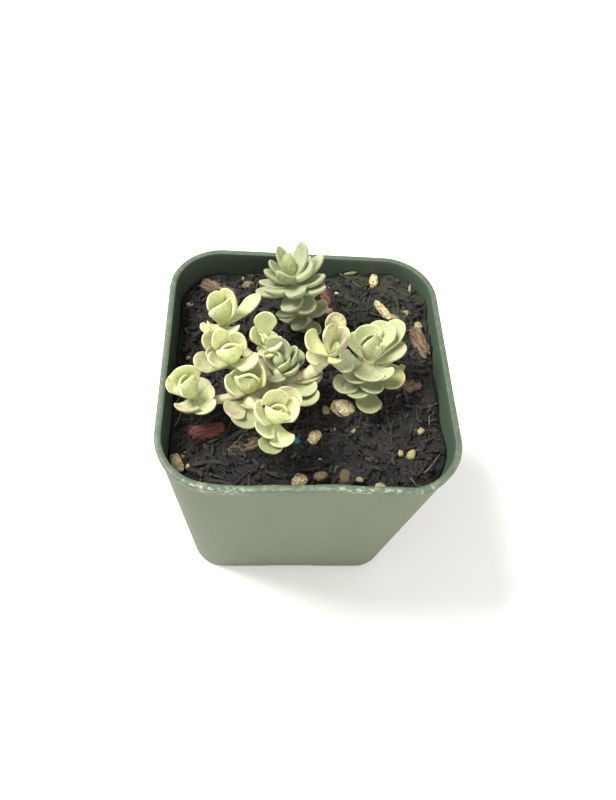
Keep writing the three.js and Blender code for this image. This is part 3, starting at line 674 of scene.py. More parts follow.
def pot_finish(look):
    """Thin green moulded plastic, hazy outside, with pale scuffs along the rim. The lighter outer face is
    partly painted light, and the top of the rim has a painted highlight.
    """
    f = Finish("pot_plastic")
    outer = f.mark("outer")
    across = f.measure("X")
    height = f.measure("Z")
    front = 1 - f.measure("Y").ramp(-31.5, -26)
    grain = f.spots(0.5, 4)
    clouds = f.spots(9, 3, stretch=(1, 1, 2.2))
    smears = f.spots(3, 4, 0.62, shift=11)
    streaks = f.spots(1.1, 3, stretch=(4, 4, 0.5), shift=3)
    scratch = f.spots(0.5, 2, stretch=(5, 5, 0.6), shift=13).ramp(0.7, 0.78) * smears.ramp(0.5, 0.62)
    lip = height.ramp(POT_HEIGHT - LIP_HEIGHT - 0.3, POT_HEIGHT - LIP_HEIGHT + 0.5)
    # Painted light: the outer face is lighter than the inside, partly from real haze on the plastic and
    # partly as painted light falling on it.
    outer_haze_and_light = outer * (0.7 + 0.2 * clouds.ramp(0.3, 0.7) + 0.12 * smears.ramp(0.35, 0.7))
    # On the lip the haze and painted light are mostly taken away, least at the front, which faces the light.
    # The outer face is painted lighter towards the right, where the lamps light it less.
    outer_haze_and_light = outer_haze_and_light * (1 - lip * (0.8 - 0.45 * front)) * (0.84 + 0.34 * across.ramp(-28, 28))
    colour = f.mix(look.deep_colour, look.haze_and_light_colour, outer_haze_and_light)
    colour = f.mix(colour, look.deep_colour, (1 - outer) * smears.ramp(0.4, 0.7) * 0.25)
    left = across.ramp(-28, -23) * (1 - across.ramp(-16, -11))
    right = across.ramp(2, 8) * (1 - across.ramp(24, 29))
    thread = height.ramp(POT_HEIGHT - 1.1, POT_HEIGHT - 0.5) * (0.3 + 0.7 * front * (left + right).ramp(0, 1))
    rubbed = height.ramp(POT_HEIGHT - 5, POT_HEIGHT - 1.5) * front * (0.1 + 0.9 * left)
    fleck = (f.spots(0.45, 3, 0.6, stretch=(2.6, 2.6, 0.7), shift=3) + 0.12 * clouds).ramp(0.56, 0.66)
    scuff = fleck * (thread + 0.75 * rubbed).ramp(0, 1) * outer * look.scuffs
    colour = f.mix(colour, look.scuff_colour, scuff)
    worn_parts = 0.5 + 0.5 * f.spots(7, 2).ramp(0.4, 0.6)
    wear = f.spots(1.6, 3, shift=7).ramp(0.5, 0.64) * (0.35 + 0.65 * front) * worn_parts
    # A thin painted highlight along the top of the rim, stronger where the rim is worn.
    rim_highlight_and_wear = height.ramp(POT_HEIGHT - 0.45, POT_HEIGHT - 0.1) * (0.12 + 0.88 * wear)
    colour = f.mix(colour, look.rim_wear_and_highlight_colour, rim_highlight_and_wear)
    colour = f.mix(colour, look.scuff_colour, scratch * outer * 0.4)
    # The outer face is paler towards the bottom.
    paler_foot = (1 - height.ramp(2, 16)) * outer * 0.3
    colour = f.mix(colour, look.haze_and_light_colour, paler_foot)
    flecks = f.spots(0.55, 2, shift=5).ramp(0.7, 0.76) * outer * smears.ramp(0.4, 0.6) * 0.6
    colour = f.mix(colour, look.scuff_colour, flecks)
    roughness = 0.5 + 0.1 * grain + 0.16 * outer_haze_and_light
    return f.done(colour, roughness, f.bump(grain + 0.6 * streaks, 0.03), specular_ior_level=0.36)


def back_right(f):
    """How near a place is to the back right corner of the mix, from 0 to 1."""
    return (f.measure("X") * 0.5 + f.measure("Y") * 0.8).ramp(4, 30)


def mix_finish(look):
    """Damp peat: nearly black, with brown fibres and a green film at the back right."""
    f = Finish("damp_mix")
    crumbs = f.spots(0.45, 5, 0.65)
    clods = f.spots(1.7, 4, 0.6)
    drier = (crumbs * 0.6 + clods * 0.4).ramp(0.48, 0.72)
    colour = f.mix(look.dark_colour, look.brown_colour, drier)
    fibres = f.spots(0.35, 3, stretch=(1, 7, 1), shift=2).ramp(0.66, 0.78)
    colour = f.mix(colour, look.fibre_colour, fibres * 0.5)
    corner = back_right(f)
    film = (f.spots(5, 3, shift=4) + 0.18 * corner).ramp(0.56, 0.74) * corner
    colour = f.mix(colour, look.moss_colour, film * 0.75)
    relief = crumbs + 1.4 * clods
    return f.done(colour, 0.78 + 0.15 * crumbs, f.bump(relief, 0.5), specular_ior_level=0.35)


def litter_finish(look):
    """Shreds, fibres and crumbs, each in a tone of its own."""
    f = Finish("litter")
    tone = f.mark("tone")
    warm = f.mark("warm")
    grain = f.spots(0.3, 4, 0.65)
    colour = f.mix(look.dark_colour, look.brown_colour, tone.ramp(0, 0.75))
    colour = f.mix(colour, look.fibre_colour, tone.ramp(0.66, 1) * 0.8)
    colour = f.mix(colour, look.red_colour, warm)
    colour = f.mix(colour, look.dark_colour, grain.ramp(0.42, 0.6) * 0.65)
    corner = back_right(f)
    film = f.spots(3, 3, shift=4).ramp(0.44, 0.62) * corner
    colour = f.mix(colour, look.moss_colour, film * 0.6)
    return f.done(colour, 0.72 + 0.24 * grain, f.bump(grain, 0.12), specular_ior_level=0.3)


def bark_finish(name, dark, pale):
    """Rough bark with a grain along the chip and dark hollows."""
    f = Finish(name)
    stretched = {"X": f.mark("along") * 0.35, "Y": f.mark("side") * 1.8, "Z": 0.4}
    place = f.node("ShaderNodeCombineXYZ", {}, stretched).outputs[0]
    values = {"Vector": place, "Scale": 1, "Detail": 4, "Roughness": 0.6}
    grain = f.value("ShaderNodeTexNoise", {}, values, "Fac")
    fine = f.spots(0.25, 4, 0.6)
    colour = f.mix(dark, pale, (grain * 0.7 + fine * 0.3).ramp(0.36, 0.66))
    return f.done(colour, 0.75 + 0.2 * fine, f.bump(grain * 1.5 + fine, 0.3), specular_ior_level=0.3)


def bits_finish(look):
    """Bits of bark and stone, from brown to pale, some red and some green with algae."""
    f = Finish("small_bits")
    pale = f.mark("pale")
    fine = f.spots(0.3, 4, 0.62)
    cloud = f.spots(0.9, 3)
    colour = f.mix(look.bark_dark_colour, look.bark_pale_colour, (pale * 2).ramp(0, 0.9))
    colour = f.mix(colour, look.pumice_colour, pale.ramp(0.4, 0.85))
    colour = f.mix(colour, look.red_colour, f.mark("red") * 1.4)
    colour = f.mix(colour, look.olive_colour, f.mark("green") * (0.45 + 0.7 * cloud))
    colour = f.mix(colour, look.dark_colour, fine.ramp(0.5, 0.7) * 0.55)
    return f.done(colour, 0.78 + 0.16 * fine, f.bump(fine + cloud, 0.3), specular_ior_level=0.3)


def pumice_finish(look):
    """Tan grain with pores, dusted green and brown."""
    f = Finish("pumice_grain")
    pores = f.value(
        "ShaderNodeTexVoronoi", {"feature": "F1"}, {"Vector": f.place, "Scale": 1 / (0.75 * MM)}, "Distance"
    )
    fine = f.spots(0.3, 4, 0.65)
    tint = f.spots(1.6, 3)
    colour = f.mix(look.pumice_colour, look.pumice_pale_colour, tint.ramp(0.35, 0.65))
    colour = f.mix(colour, look.moss_colour, f.spots(1.2, 3, shift=5).ramp(0.55, 0.7) * 0.55)
    hollows = 1 - pores.ramp(0.05, 0.4)
    colour = f.mix(colour, look.brown_colour, hollows * 0.7)
    return f.done(colour, 0.8 + 0.15 * fine, f.bump(pores + 0.6 * fine, 0.4), specular_ior_level=0.3)


def leaf_finish(look):
    """Fleshy leaf, powdery above and greener below, with a pale edge and pinkish tan tips."""
    f = Finish("fleshy_leaf")
    along = f.mark("along")
    margin = f.mark("margin")
    upper = f.mark("upper").ramp(0, 0.6)
    age = f.mark("age")
    pink = f.mark("pink")
    yellow = f.mark("yellow")
    tone = f.mark("tone")
    fine = f.spots(0.16, 3, 0.6)
    mottle = f.spots(0.55, 4, 0.62, shift=3)
    blotch = f.spots(1.5, 3, 0.6)
    colour = f.mix(look.young_colour, look.old_colour, age)
    hollow = (1 - along.ramp(0.15, 0.85)) * (1 - upper) * (1 - 0.5 * age)
    colour = f.mix(colour, look.heart_colour, hollow * 0.9)
    middle = (1 - margin.ramp(0.35, 0.92)) * (1 - upper)
    colour = f.mix(colour, look.heart_colour, middle * 0.22)
    # Fading leaves take a dark olive that is partly their own colour and partly painted shade, since most of
    # them lie low under the others; their bloom and pale edge are taken off too.
    colour = f.mix(colour, look.fading_and_shade_colour, yellow * (0.55 + 0.45 * blotch))
    colour = f.mix(colour, look.shade_colour, (0.4 - 0.4 * tone) * (0.4 + 0.6 * blotch))
    colour = f.mix(colour, look.shade_colour, mottle.ramp(0.46, 0.64) * (0.18 + 0.34 * age))
    colour = f.mix(colour, look.shade_colour, fine.ramp(0.5, 0.66) * (0.1 + 0.16 * age))
    powder = fine.ramp(0.52, 0.34) * (0.3 + 0.35 * mottle.ramp(0.6, 0.4)) + upper * 0.2
    powder = powder * (1 - 0.5 * age) * (1 - 0.85 * yellow)
    colour = f.mix(colour, look.bloom_colour, powder)
    tips = along.ramp(0.35, 0.95) * (0.35 + 0.4 * margin.ramp(0.45, 0.95) + 0.55 * upper)
    blush = pink * tips * (0.25 + 1.1 * blotch.ramp(0.38, 0.6)) * (0.6 + 0.4 * mottle)
    colour = f.mix(colour, look.pink_colour, blush.ramp(0, 1.1))
    edge = margin.ramp(0.88, 0.99) * along.ramp(0.1, 0.35) * (0.4 + 0.6 * fine)
    colour = f.mix(colour, look.edge_colour, edge * (0.7 - 0.4 * age) * (1 - 0.6 * yellow))
    outline = margin.ramp(0.93, 0.995) * along.ramp(0.2, 0.6) * pink * (0.3 + 0.9 * fine)
    colour = f.mix(colour, look.pink_colour, outline.ramp(0, 1) * 0.75)
    dots = f.spots(0.35, 2, shift=9)
    specks = dots.ramp(0.66, 0.76) * (0.2 + 0.8 * age) + dots.ramp(0.56, 0.64) * margin.ramp(0.7, 0.95) * pink
    colour = f.mix(colour, look.pink_colour, specks.ramp(0, 1) * 0.6)
    relief = fine + 0.9 * mottle + 0.8 * blotch
    return f.done(
        colour,
        0.6 + 0.14 * fine,
        f.bump(relief, 0.16, 0.9),
        specular_ior_level=0.28,
        subsurface_weight=0.2,
        subsurface_radius=(0.0011, 0.0013, 0.0006),
        subsurface_scale=1,
        sheen_weight=0.08,
        sheen_roughness=0.6,
    )


def stem_finish(look):
    """Pale stem with a pinkish tan cast, darker towards its foot and at the scars of old leaves."""
    f = Finish("pale_stem")
    along = f.mark("along")
    scars = f.mark("scar")
    fine = f.spots(0.3, 4, 0.6)
    patches = f.spots(1.4, 3)
    colour = f.mix(look.stem_foot_colour, look.stem_colour, along.ramp(0, 0.7))
    colour = f.mix(colour, look.pink_colour, patches.ramp(0.52, 0.72) * 0.2)
    colour = f.mix(colour, look.stem_foot_colour, scars * 0.6 + fine.ramp(0.6, 0.8) * 0.25)
    return f.done(
        colour,
        0.6 + 0.15 * fine,
        f.bump(fine + patches, 0.12),
        specular_ior_level=0.3,
        subsurface_weight=0.1,
        subsurface_radius=(0.001, 0.0008, 0.0005),
        subsurface_scale=1,
    )


# Pot

def square_ring(side, corner, z, corner_steps=16, side_steps=18):
    """A level ring of points round a square with round corners."""
    reach = side / 2 - corner
    ring = []
    for quarter in range(4):
        middle = math.radians((quarter + 0.5) * 90)
        centre = np.array([math.copysign(reach, math.cos(middle)), math.copysign(reach, math.sin(middle))])
        angles = np.radians(np.linspace(quarter * 90, quarter * 90 + 90, corner_steps + 1))
        ring.extend(centre + corner * np.array([math.cos(a), math.sin(a)]) for a in angles)
        turn = math.radians(90 * (quarter + 1))
        start = ring[-1]
        step = np.array([-math.sin(turn), math.cos(turn)]) * 2 * reach
        ring.extend(start + step * k / side_steps for k in range(1, side_steps))
    return np.array([(x, y, z) for x, y in ring])


def wall_size(z, inset):
    """The side and the corner radius of the wall's section at a height."""
    share = z / POT_HEIGHT
    side = lerp(BASE_SIDE, RIM_SIDE - 2 * LIP_PROUD, share) - 2 * inset
    return side, lerp(BASE_CORNER, RIM_CORNER, share) - inset


def wall_ring(z, inset, **steps):
    """A ring of the pot's wall, which tapers evenly. inset is measured in from its outer face."""
    side, corner = wall_size(z, inset)
    return square_ring(side, corner, z, **steps)


def wall_depth(points):
    """How far each point is inside the wall's outer face."""
    share = points[:, 2] / POT_HEIGHT
    half = lerp(BASE_SIDE, RIM_SIDE - 2 * LIP_PROUD, share) / 2
    corner = lerp(BASE_CORNER, RIM_CORNER, share)
    over = np.abs(points[:, :2]) - (half - corner)[:, None]
    return corner - np.linalg.norm(np.maximum(over, 0), axis=1) - np.minimum(over.max(axis=1), 0)


def cut_out(obj, cutters):
    """Cuts the other objects out of obj and removes them."""
    for cutter in cutters:
        knife = obj.modifiers.new("cut", "BOOLEAN")
        knife.object = cutter
        knife.operation = "DIFFERENCE"
        knife.solver = "EXACT"
    bpy.context.view_layer.update()
    evaluated = obj.evaluated_get(bpy.context.evaluated_depsgraph_get())
    cut = bpy.data.meshes.new_from_object(evaluated)
    obj.modifiers.clear()
    obj.data = cut
    for cutter in cutters:
        bpy.data.objects.remove(cutter)


def solid_object(name, points, faces):
    """An object of closed faces through points in millimetres."""
    mesh = bpy.data.meshes.new(name)
    mesh.from_pydata(np.asarray(points) * MM, [], faces)
    obj = bpy.data.objects.new(name, mesh)
    bpy.context.scene.collection.objects.link(obj)
    return obj


def notch_object(along_x):
    """A channel between the feet, right across the base."""
    half = NOTCH_WIDTH / 2
    outline = [
        (-half - NOTCH_SLOPE, -1), (half + NOTCH_SLOPE, -1), (half + NOTCH_SLOPE, 0),
        (half, FOOT_HEIGHT), (-half, FOOT_HEIGHT), (-half - NOTCH_SLOPE, 0),
    ]
    ends = [[(a, end, z) for a, z in outline] for end in (-BASE_SIDE, BASE_SIDE)]
    if along_x:
        ends = [[(y, -x, z) for x, y, z in end] for end in ends]
    n = len(outline)
    faces = [tuple(range(n)), tuple(range(2 * n - 1, n - 1, -1))]
    faces += [(k, k + n, (k + 1) % n + n, (k + 1) % n) for k in range(n)]
    return solid_object("notch", ends[0] + ends[1], faces)


def drain_object(x, y):
    """A drain hole, through the pot's floor."""
    angles = np.linspace(0, 2 * math.pi, DRAIN_SIDES, endpoint=False)
    circle = np.column_stack([x + DRAIN_RADIUS * np.cos(angles), y + DRAIN_RADIUS * np.sin(angles)])
    rings = [[(a, b, z) for a, b in circle] for z in (-FLOOR_TOP, 2 * FLOOR_TOP)]
    return solid_object("drain", *loft(rings, (x, y, -FLOOR_TOP), (x, y, 2 * FLOOR_TOP)))


def rim_wave(points):
    """The soft wave of the thin rim, strongest at the front."""
    near = np.clip((points[:, 2] - WAVE_START * POT_HEIGHT) / ((1 - WAVE_START) * POT_HEIGHT), 0, 1) ** 2
    front = np.clip(-points[:, 1] / (RIM_SIDE / 2), 0, 1) ** 6
    x = points[:, 0]
    wave = 0.34 * np.sin(0.2 * x + 0.9) + 0.16 * np.sin(0.52 * x - 0.5)
    moved = points.copy()
    moved[:, 1] += near * front * wave * WAVE_IN
    moved[:, 2] += near * front * wave * WAVE_UP
    return moved


def build_pot(look):
    """One thin shell, lofted up the outside, over the lip and down the inside to the floor."""
    foot = POT_HEIGHT - LIP_HEIGHT
    stations = [(0, FOOT_CHAMFER), (0.25, 0.3), (FOOT_CHAMFER, 0), (3, 0)]
    stations += [(z, 0) for z in np.linspace(8, foot - 4, 12)]
    stations += [
        (foot - 0.3, 0), (foot, -0.02), (foot + 0.2, -LIP_PROUD * 0.7), (foot + LIP_PROUD, -LIP_PROUD),
        (POT_HEIGHT - 1, -LIP_PROUD), (POT_HEIGHT - RIM_CHAMFER, -LIP_PROUD),
        (POT_HEIGHT - 0.1, -LIP_PROUD + 0.12), (POT_HEIGHT, 0),
        (POT_HEIGHT, WALL - RIM_CHAMFER), (POT_HEIGHT - 0.1, WALL - 0.08),
        (POT_HEIGHT - RIM_CHAMFER, WALL), (POT_HEIGHT - 2, WALL),
    ]
    stations += [(z, WALL) for z in np.linspace(foot - 4, FLOOR_TOP + FLOOR_FILLET[1], 10)]
    stations += [(FLOOR_TOP + 0.5, WALL + 0.5), (FLOOR_TOP, WALL + FLOOR_FILLET[0])]
    rings = [wall_ring(z, inset) for z, inset in stations]
    points, faces = loft(rings, (0, 0, 0), (0, 0, FLOOR_TOP))
    pot = solid_object("nursery_pot", rim_wave(points), faces)
    holes = [drain_object(x * DRAIN_OFFSET, y * DRAIN_OFFSET) for x, y in DRAINS]
    cut_out(pot, [notch_object(False), notch_object(True), *holes])
    mesh = pot.data
    spots = np.array([v.co for v in mesh.vertices]) / MM
    outer = mesh.attributes.new("outer", "FLOAT", "POINT")
    outer.data.foreach_set("value", (wall_depth(spots) < 0.25 * WALL).astype(np.float32))
    mesh.shade_smooth()
    mesh.set_sharp_from_angle(angle=math.radians(SHARP_ANGLE))
    mesh.materials.clear()
    mesh.materials.append(pot_finish(look))
    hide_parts("pot")
    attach(pot, "root")


# Potting mix

def build_mix(look):
    """The body of the mix: rings up the pot's wall and then inwards over its lumpy top."""
    inset = WALL + GAP
    low = FLOOR_TOP + GAP
    steps = {"corner_steps": 12, "side_steps": 22}
    flat = wall_ring(SOIL_LEVEL, inset, **steps)
    tops = soil_height(flat[:, 0], flat[:, 1])
    outline = np.array([wall_ring(z, inset, **steps)[i] for i, z in enumerate(tops)])
    rings = [
        wall_ring(low, inset + FLOOR_FILLET[0], **steps),
        wall_ring(low + FLOOR_FILLET[1], inset, **steps),
    ]
    rings += [wall_ring(z, inset, **steps) for z in np.linspace(12, SOIL_LEVEL - 4, 5)]
    for r in range(SOIL_RINGS, 0, -1):
        share = r / SOIL_RINGS
        x = outline[:, 0] * share
        y = outline[:, 1] * share
        rings.append(np.column_stack([x, y, soil_height(x, y) + fine_relief(x, y)]))
    shape = Shape()
    shape.add(*loft(rings, (0, 0, low), (0, 0, float(soil_height(0, 0)))))
    shape.piece("mix_body", mix_finish(look), "mix", "potting_mix")


def fine_relief(x, y):
    """Small clods on top of the solid model's relief."""
    return (
        0.22 * np.sin(3.7 * x + 1.1 * y) * np.sin(3.1 * y - 1.7 * x + 1)
        + 0.16 * np.sin(6.1 * x - 2.3 * y + 2) * np.cos(5.3 * y + 2.9 * x)
        + 0.1 * np.sin(11 * x + 3 * y) * np.sin(9.7 * y - 4 * x)
    )


def lump_points(detail):
    """Unit ball with its faces, as an even net of triangles."""
    ball = bpy.data.meshes.new("ball")
    net = bmesh.new()
    bmesh.ops.create_icosphere(net, subdivisions=detail, radius=1)
    net.to_mesh(ball)
    net.free()
    points = np.array([v.co for v in ball.vertices])
    faces = [tuple(p.vertices) for p in ball.polygons]
    bpy.data.meshes.remove(ball)
    return points / np.linalg.norm(points, axis=1)[:, None], faces


def turned(points, lean, heading):
    """Points leaned about Y and then turned about Z, in degrees."""
    turn = Matrix.Rotation(math.radians(heading), 3, "Z") @ Matrix.Rotation(math.radians(lean), 3, "Y")
    return points @ np.array(turn).T


def lump(shape, spec, seed, blunt, ball, roughness, **marks):
    """One chip or pebble. blunt is 1 for a pebble and larger for a chip with square ends."""
    (x, y), heading, lean, size, sunk = spec
    points, faces = ball
    px, py, pz = points.T
    swell = (
        1
        + 0.1 * np.sin(3.1 * px + 2.3 * seed) * np.cos(2.7 * py + seed)
        + 0.06 * np.sin(6.3 * pz + 5.1 * px + seed)
    )
    rough = roughness * (
        np.sin(9 * px + seed) * np.sin(8 * py + 2 * seed) * np.cos(7 * pz)
        + 0.6 * np.sin(17 * px + 13 * py + seed) * np.cos(15 * pz + 11 * py)
        + 0.4 * np.sin(29 * px - 23 * py) * np.cos(31 * pz + seed)
    )
    squared = np.sign(points) * np.abs(points) ** (1 / blunt)
    body = squared * (np.array(size) / 2) * (swell + rough)[:, None]
    if blunt > GROOVED_FROM:
        groove = np.sin(13 * py + 2.2 * np.sin(2.3 * px + seed) + 5 * pz)
        body[:, 1:] *= (1 + 0.07 * groove)[:, None]
        body[:, 0] *= 1 + 0.13 * np.sin(8 * py + 3 * seed) * np.cos(5 * pz + seed) - 0.04 * groove
    along = body[:, 0].copy()
    side = body[:, 1] + 0.7 * body[:, 2]
    body = turned(body, lean, heading)
    body += (x, y, float(soil_height(x, y)) + size[2] * (0.5 - sunk))
    shape.add(body, faces, along=along, side=side, **marks)


def build_chips(look):
    """The brown and the red bark chips."""
    ball = lump_points(CHIP_DETAIL)
    finishes = {
        "brown": bark_finish("brown_bark", look.bark_dark_colour, look.bark_pale_colour),
        "red": bark_finish("red_bark", look.red_dark_colour, look.red_colour),
    }
    for i, (name, spec) in enumerate(CHIPS.items()):
        colour = "red" if "red" in name else "brown"
        shape = Shape()
        lump(shape, spec, i + BARK_FIRST_SHAPE, BARK_BLUNT, ball, roughness=0.07)
        shape.piece(name + "_rough", finishes[colour], colour + "_bark", name)


def build_pumice(look):
    """The pumice pebbles and sticks that are pieces of their own."""
    ball = lump_points(CHIP_DETAIL)
    finish = pumice_finish(look)
    for i, (name, spec) in enumerate(PEBBLES.items()):
        shape = Shape()
        lump(shape, spec, i + PUMICE_FIRST_SHAPE, PUMICE_BLUNT, ball, roughness=0.06)
        shape.piece(name + "_grain", finish, "pumice", name)


def soil_spots(draw, count, margin):
    """Random places on the mix, at least margin inside the pot's wall."""
    side, corner = wall_size(SOIL_LEVEL, WALL + margin)
    spots = []
    while len(spots) < count:
        x, y = draw.uniform(-side / 2, side / 2, 2)
        over = np.maximum(np.abs([x, y]) - (side / 2 - corner), 0)
        if np.hypot(*over) < corner:
            spots.append((x, y))
    return spots


def strand(points, widths, thickness, sides):
    """A thin strip along points. Each ring is an ellipse as wide as widths say."""
    points = np.asarray(points, float)
    headings = np.gradient(points, axis=0)
    loops = []
    for p, h, w in zip(points, headings, widths):
        h = unit(h)
        side = unit(np.cross(h, (0.02, 0.03, 1)))
        rise = np.cross(side, h)
        angles = np.linspace(0, 2 * math.pi, sides, endpoint=False)[:, None]
        loops.append(p + side * np.cos(angles) * w / 2 + rise * np.sin(angles) * thickness / 2)
    start = points[0] - 0.3 * unit(headings[0]) * widths[0]
    end = points[-1] + 0.3 * unit(headings[-1]) * widths[-1]
    return loft(loops, start, end)


def build_shreds(draw, count, finish):
    """Shreds of bark that lie on the mix."""
    shreds = Shape()
    for i, (x, y) in enumerate(soil_spots(draw, count, 1.6)):
        plank = i % PLANK_EVERY == 0
        kind = PLANK if plank else CHAFF
        long = draw.uniform(4, 8.5) if plank else draw.gamma(2.6, 0.7) + 0.8
        wide = draw.uniform(*kind["wide"])
        heading = draw.uniform(0, 2 * math.pi)
        bend = draw.normal(0, kind["bend"])
        tilt = draw.normal(0, 0.15)
        t = np.linspace(-0.5, 0.5, kind["stations"])
        way = heading + bend * t * 2
        lift = draw.uniform(*kind["lift"])
        pz = soil_height(x, y) + lift + long * t * tilt + draw.normal(0, 0.05, len(t))
        line = np.column_stack([x + long * t * np.cos(way), y + long * t * np.sin(way), pz])
        if wall_depth(line).min() <= WALL + 0.5:
            continue
        widths = wide * (1 - 0.6 * np.abs(2 * t) ** kind["blunt"]) * draw.uniform(0.72, 1.2, len(t))
        points, faces = strand(line, widths, draw.uniform(0.16, 0.4), 6)
        warm = 0.35 * (draw.random() < 0.006)
        tone = draw.uniform(0.15, 0.62) if plank else draw.beta(1.3, 3)
        shreds.add(points, faces, tone=tone, warm=warm)
    shreds.piece("bark_shreds", finish, "mix")


def build_fibres(draw, count, finish):
    """Fine fibres that arch a little over the mix."""
    fibres = Shape()
    for x, y in soil_spots(draw, count, 2.5):
        long = draw.uniform(2.2, 6.5)
        heading = draw.uniform(0, 2 * math.pi)
        t = np.linspace(-0.5, 0.5, 9)
        way = heading + draw.normal(0, 0.8) * t + draw.normal(0, 1.6) * t**2
        px = x + long * t * np.cos(way)
        py = y + long * t * np.sin(way)
        pz = soil_height(px, py) + 0.42 + draw.uniform(0, 0.5) * (1 - 4 * t**2)
        line = np.column_stack([px, py, pz])
        if wall_depth(line).min() < WALL + 0.4:
            continue
        widths = np.full(len(t), draw.uniform(0.08, 0.17))
        points, faces = strand(line, widths, widths[0], 4)
        fibres.add(points, faces, tone=draw.uniform(0.5, 1), warm=0.22 * (draw.random() < 0.1))
    fibres.piece("peat_fibres", finish, "mix")


def build_crumbs(draw, count, finish):
    """Crumbs of peat, each with its foot in the mix."""
    crumbs = Shape()
    ball, faces = lump_points(CRUMB_DETAIL)
    for x, y in soil_spots(draw, count, 1.4):
        size = draw.uniform(0.35, 1.15, 3) * draw.uniform(0.7, 1.5)
        points = ball * (1 + 0.22 * draw.normal(0, 1, len(ball)))[:, None] * size / 2
        points = turned(points, draw.uniform(-40, 40), draw.uniform(0, 360))
        points += (x, y, float(soil_height(x, y)) + size[2] * 0.2)
        crumbs.add(points, faces, tone=draw.beta(1.2, 2.6), warm=0.3 * (draw.random() < 0.008))
    crumbs.piece("mix_crumbs", finish, "mix")


def build_litter(look):
    """What is strewn on the mix, all from one run of random draws."""
    finish = litter_finish(look)
    draw = np.random.default_rng(LITTER_SEED)
    build_shreds(draw, look.shreds, finish)
    build_fibres(draw, look.fibres, finish)
    build_crumbs(draw, look.crumbs, finish)


def build_bits(look):
    """Small bits and twigs on the mix, each in its own place."""
    finish = bits_finish(look)
    ball = lump_points(GRAIN_DETAIL)
    bits = Shape()
    for i, (x, y, heading, long, wide, pale, green) in enumerate(SMALL_BITS):
        spec = ((x, y), heading, 6 * vary(i, 1), (long, wide, 0.75 * wide), 0.2)
        colours = {"pale": max(pale, 0), "red": max(-pale, 0), "green": green}
        lump(bits, spec, i, 1.25, ball, roughness=0.09, **colours)
    for i, ((x0, y0), (x1, y1)) in enumerate(TWIGS):
        t = np.linspace(0, 1, 12)
        x = lerp(x0, x1, t) + 0.5 * np.sin(3 * t + i)
        y = lerp(y0, y1, t) + 0.4 * np.sin(5 * t + 2 * i)
        z = soil_height(x, y) + 0.7 + 0.35 * np.sin(math.pi * t)
        widths = 0.26 - 0.14 * t
        points, faces = strand(np.column_stack([x, y, z]), widths, 0.24, 8)
        bits.add(points, faces, along=0, side=0, pale=0.24, red=0, green=0.3)
    bits.piece("small_bits", finish, "mix")


def build_grains(look):
    """Small pumice grains in the mix, and one blue-green bead."""
    draw = np.random.default_rng(GRAIN_SEED)
    ball = lump_points(GRAIN_DETAIL)
    grains = Shape()
    for i, (x, y) in enumerate(soil_spots(draw, look.grains, 2)):
        large = draw.uniform(0.7, 1.9)
        size = (large, large * draw.uniform(0.6, 0.9), large * draw.uniform(0.5, 0.8))
        spec = ((x, y), draw.uniform(0, 360), draw.uniform(-20, 20), size, 0.35)
        lump(grains, spec, i, 1.05, ball, roughness=0.06)
    grains.piece("pumice_grains", pumice_finish(look), "pumice")
    bead = Shape()
    lump(bead, (BEAD_PLACE, 0, 0, BEAD_SIZE, 0.25), seed=3, blunt=1, ball=ball, roughness=0)
    f = Finish("feed_bead")
    finish = f.done(BEAD_COLOUR, 0.35 + 0.1 * f.spots(0.4), specular_ior_level=0.5)
    bead.piece("feed_bead", finish, "pumice")


# Leaves and stems

def leaf_width(s, pointed, spread):
    """A leaf's half width at a share of its length, as a share of its widest.

    spread is 0 for an inner leaf and 1 for an outer one, which is narrower towards its foot.
    """
    if pointed:
        rise = 0.45 + 0.55 * math.sin(min(s / 0.5, 1) * math.pi / 2)
        fall = max(0, (s - 0.48) / 0.52)
        return 0.8 * rise * (1 - fall**2) ** 0.55
    widest = lerp(0.74, 0.66, spread)
    rise = 0.36 + 0.64 * min(s / widest, 1) ** lerp(1.15, 1.8, spread)
    fall = max(0, (s - widest) / (1 - widest))
    return rise * (1 - fall ** 2.3) ** 0.47


def leaf_directions(axis, turn, open_):
    """The way that a leaf grows and the way that its upper face looks."""
    turn = math.radians(turn)
    open_ = math.radians(open_)
    outward = np.array([math.cos(turn), math.sin(turn), 0])
    outward = unit(outward - axis * outward.dot(axis))
    along = axis * math.cos(open_) + outward * math.sin(open_)
    up = axis * math.sin(open_) - outward * math.cos(open_)
    return along, up


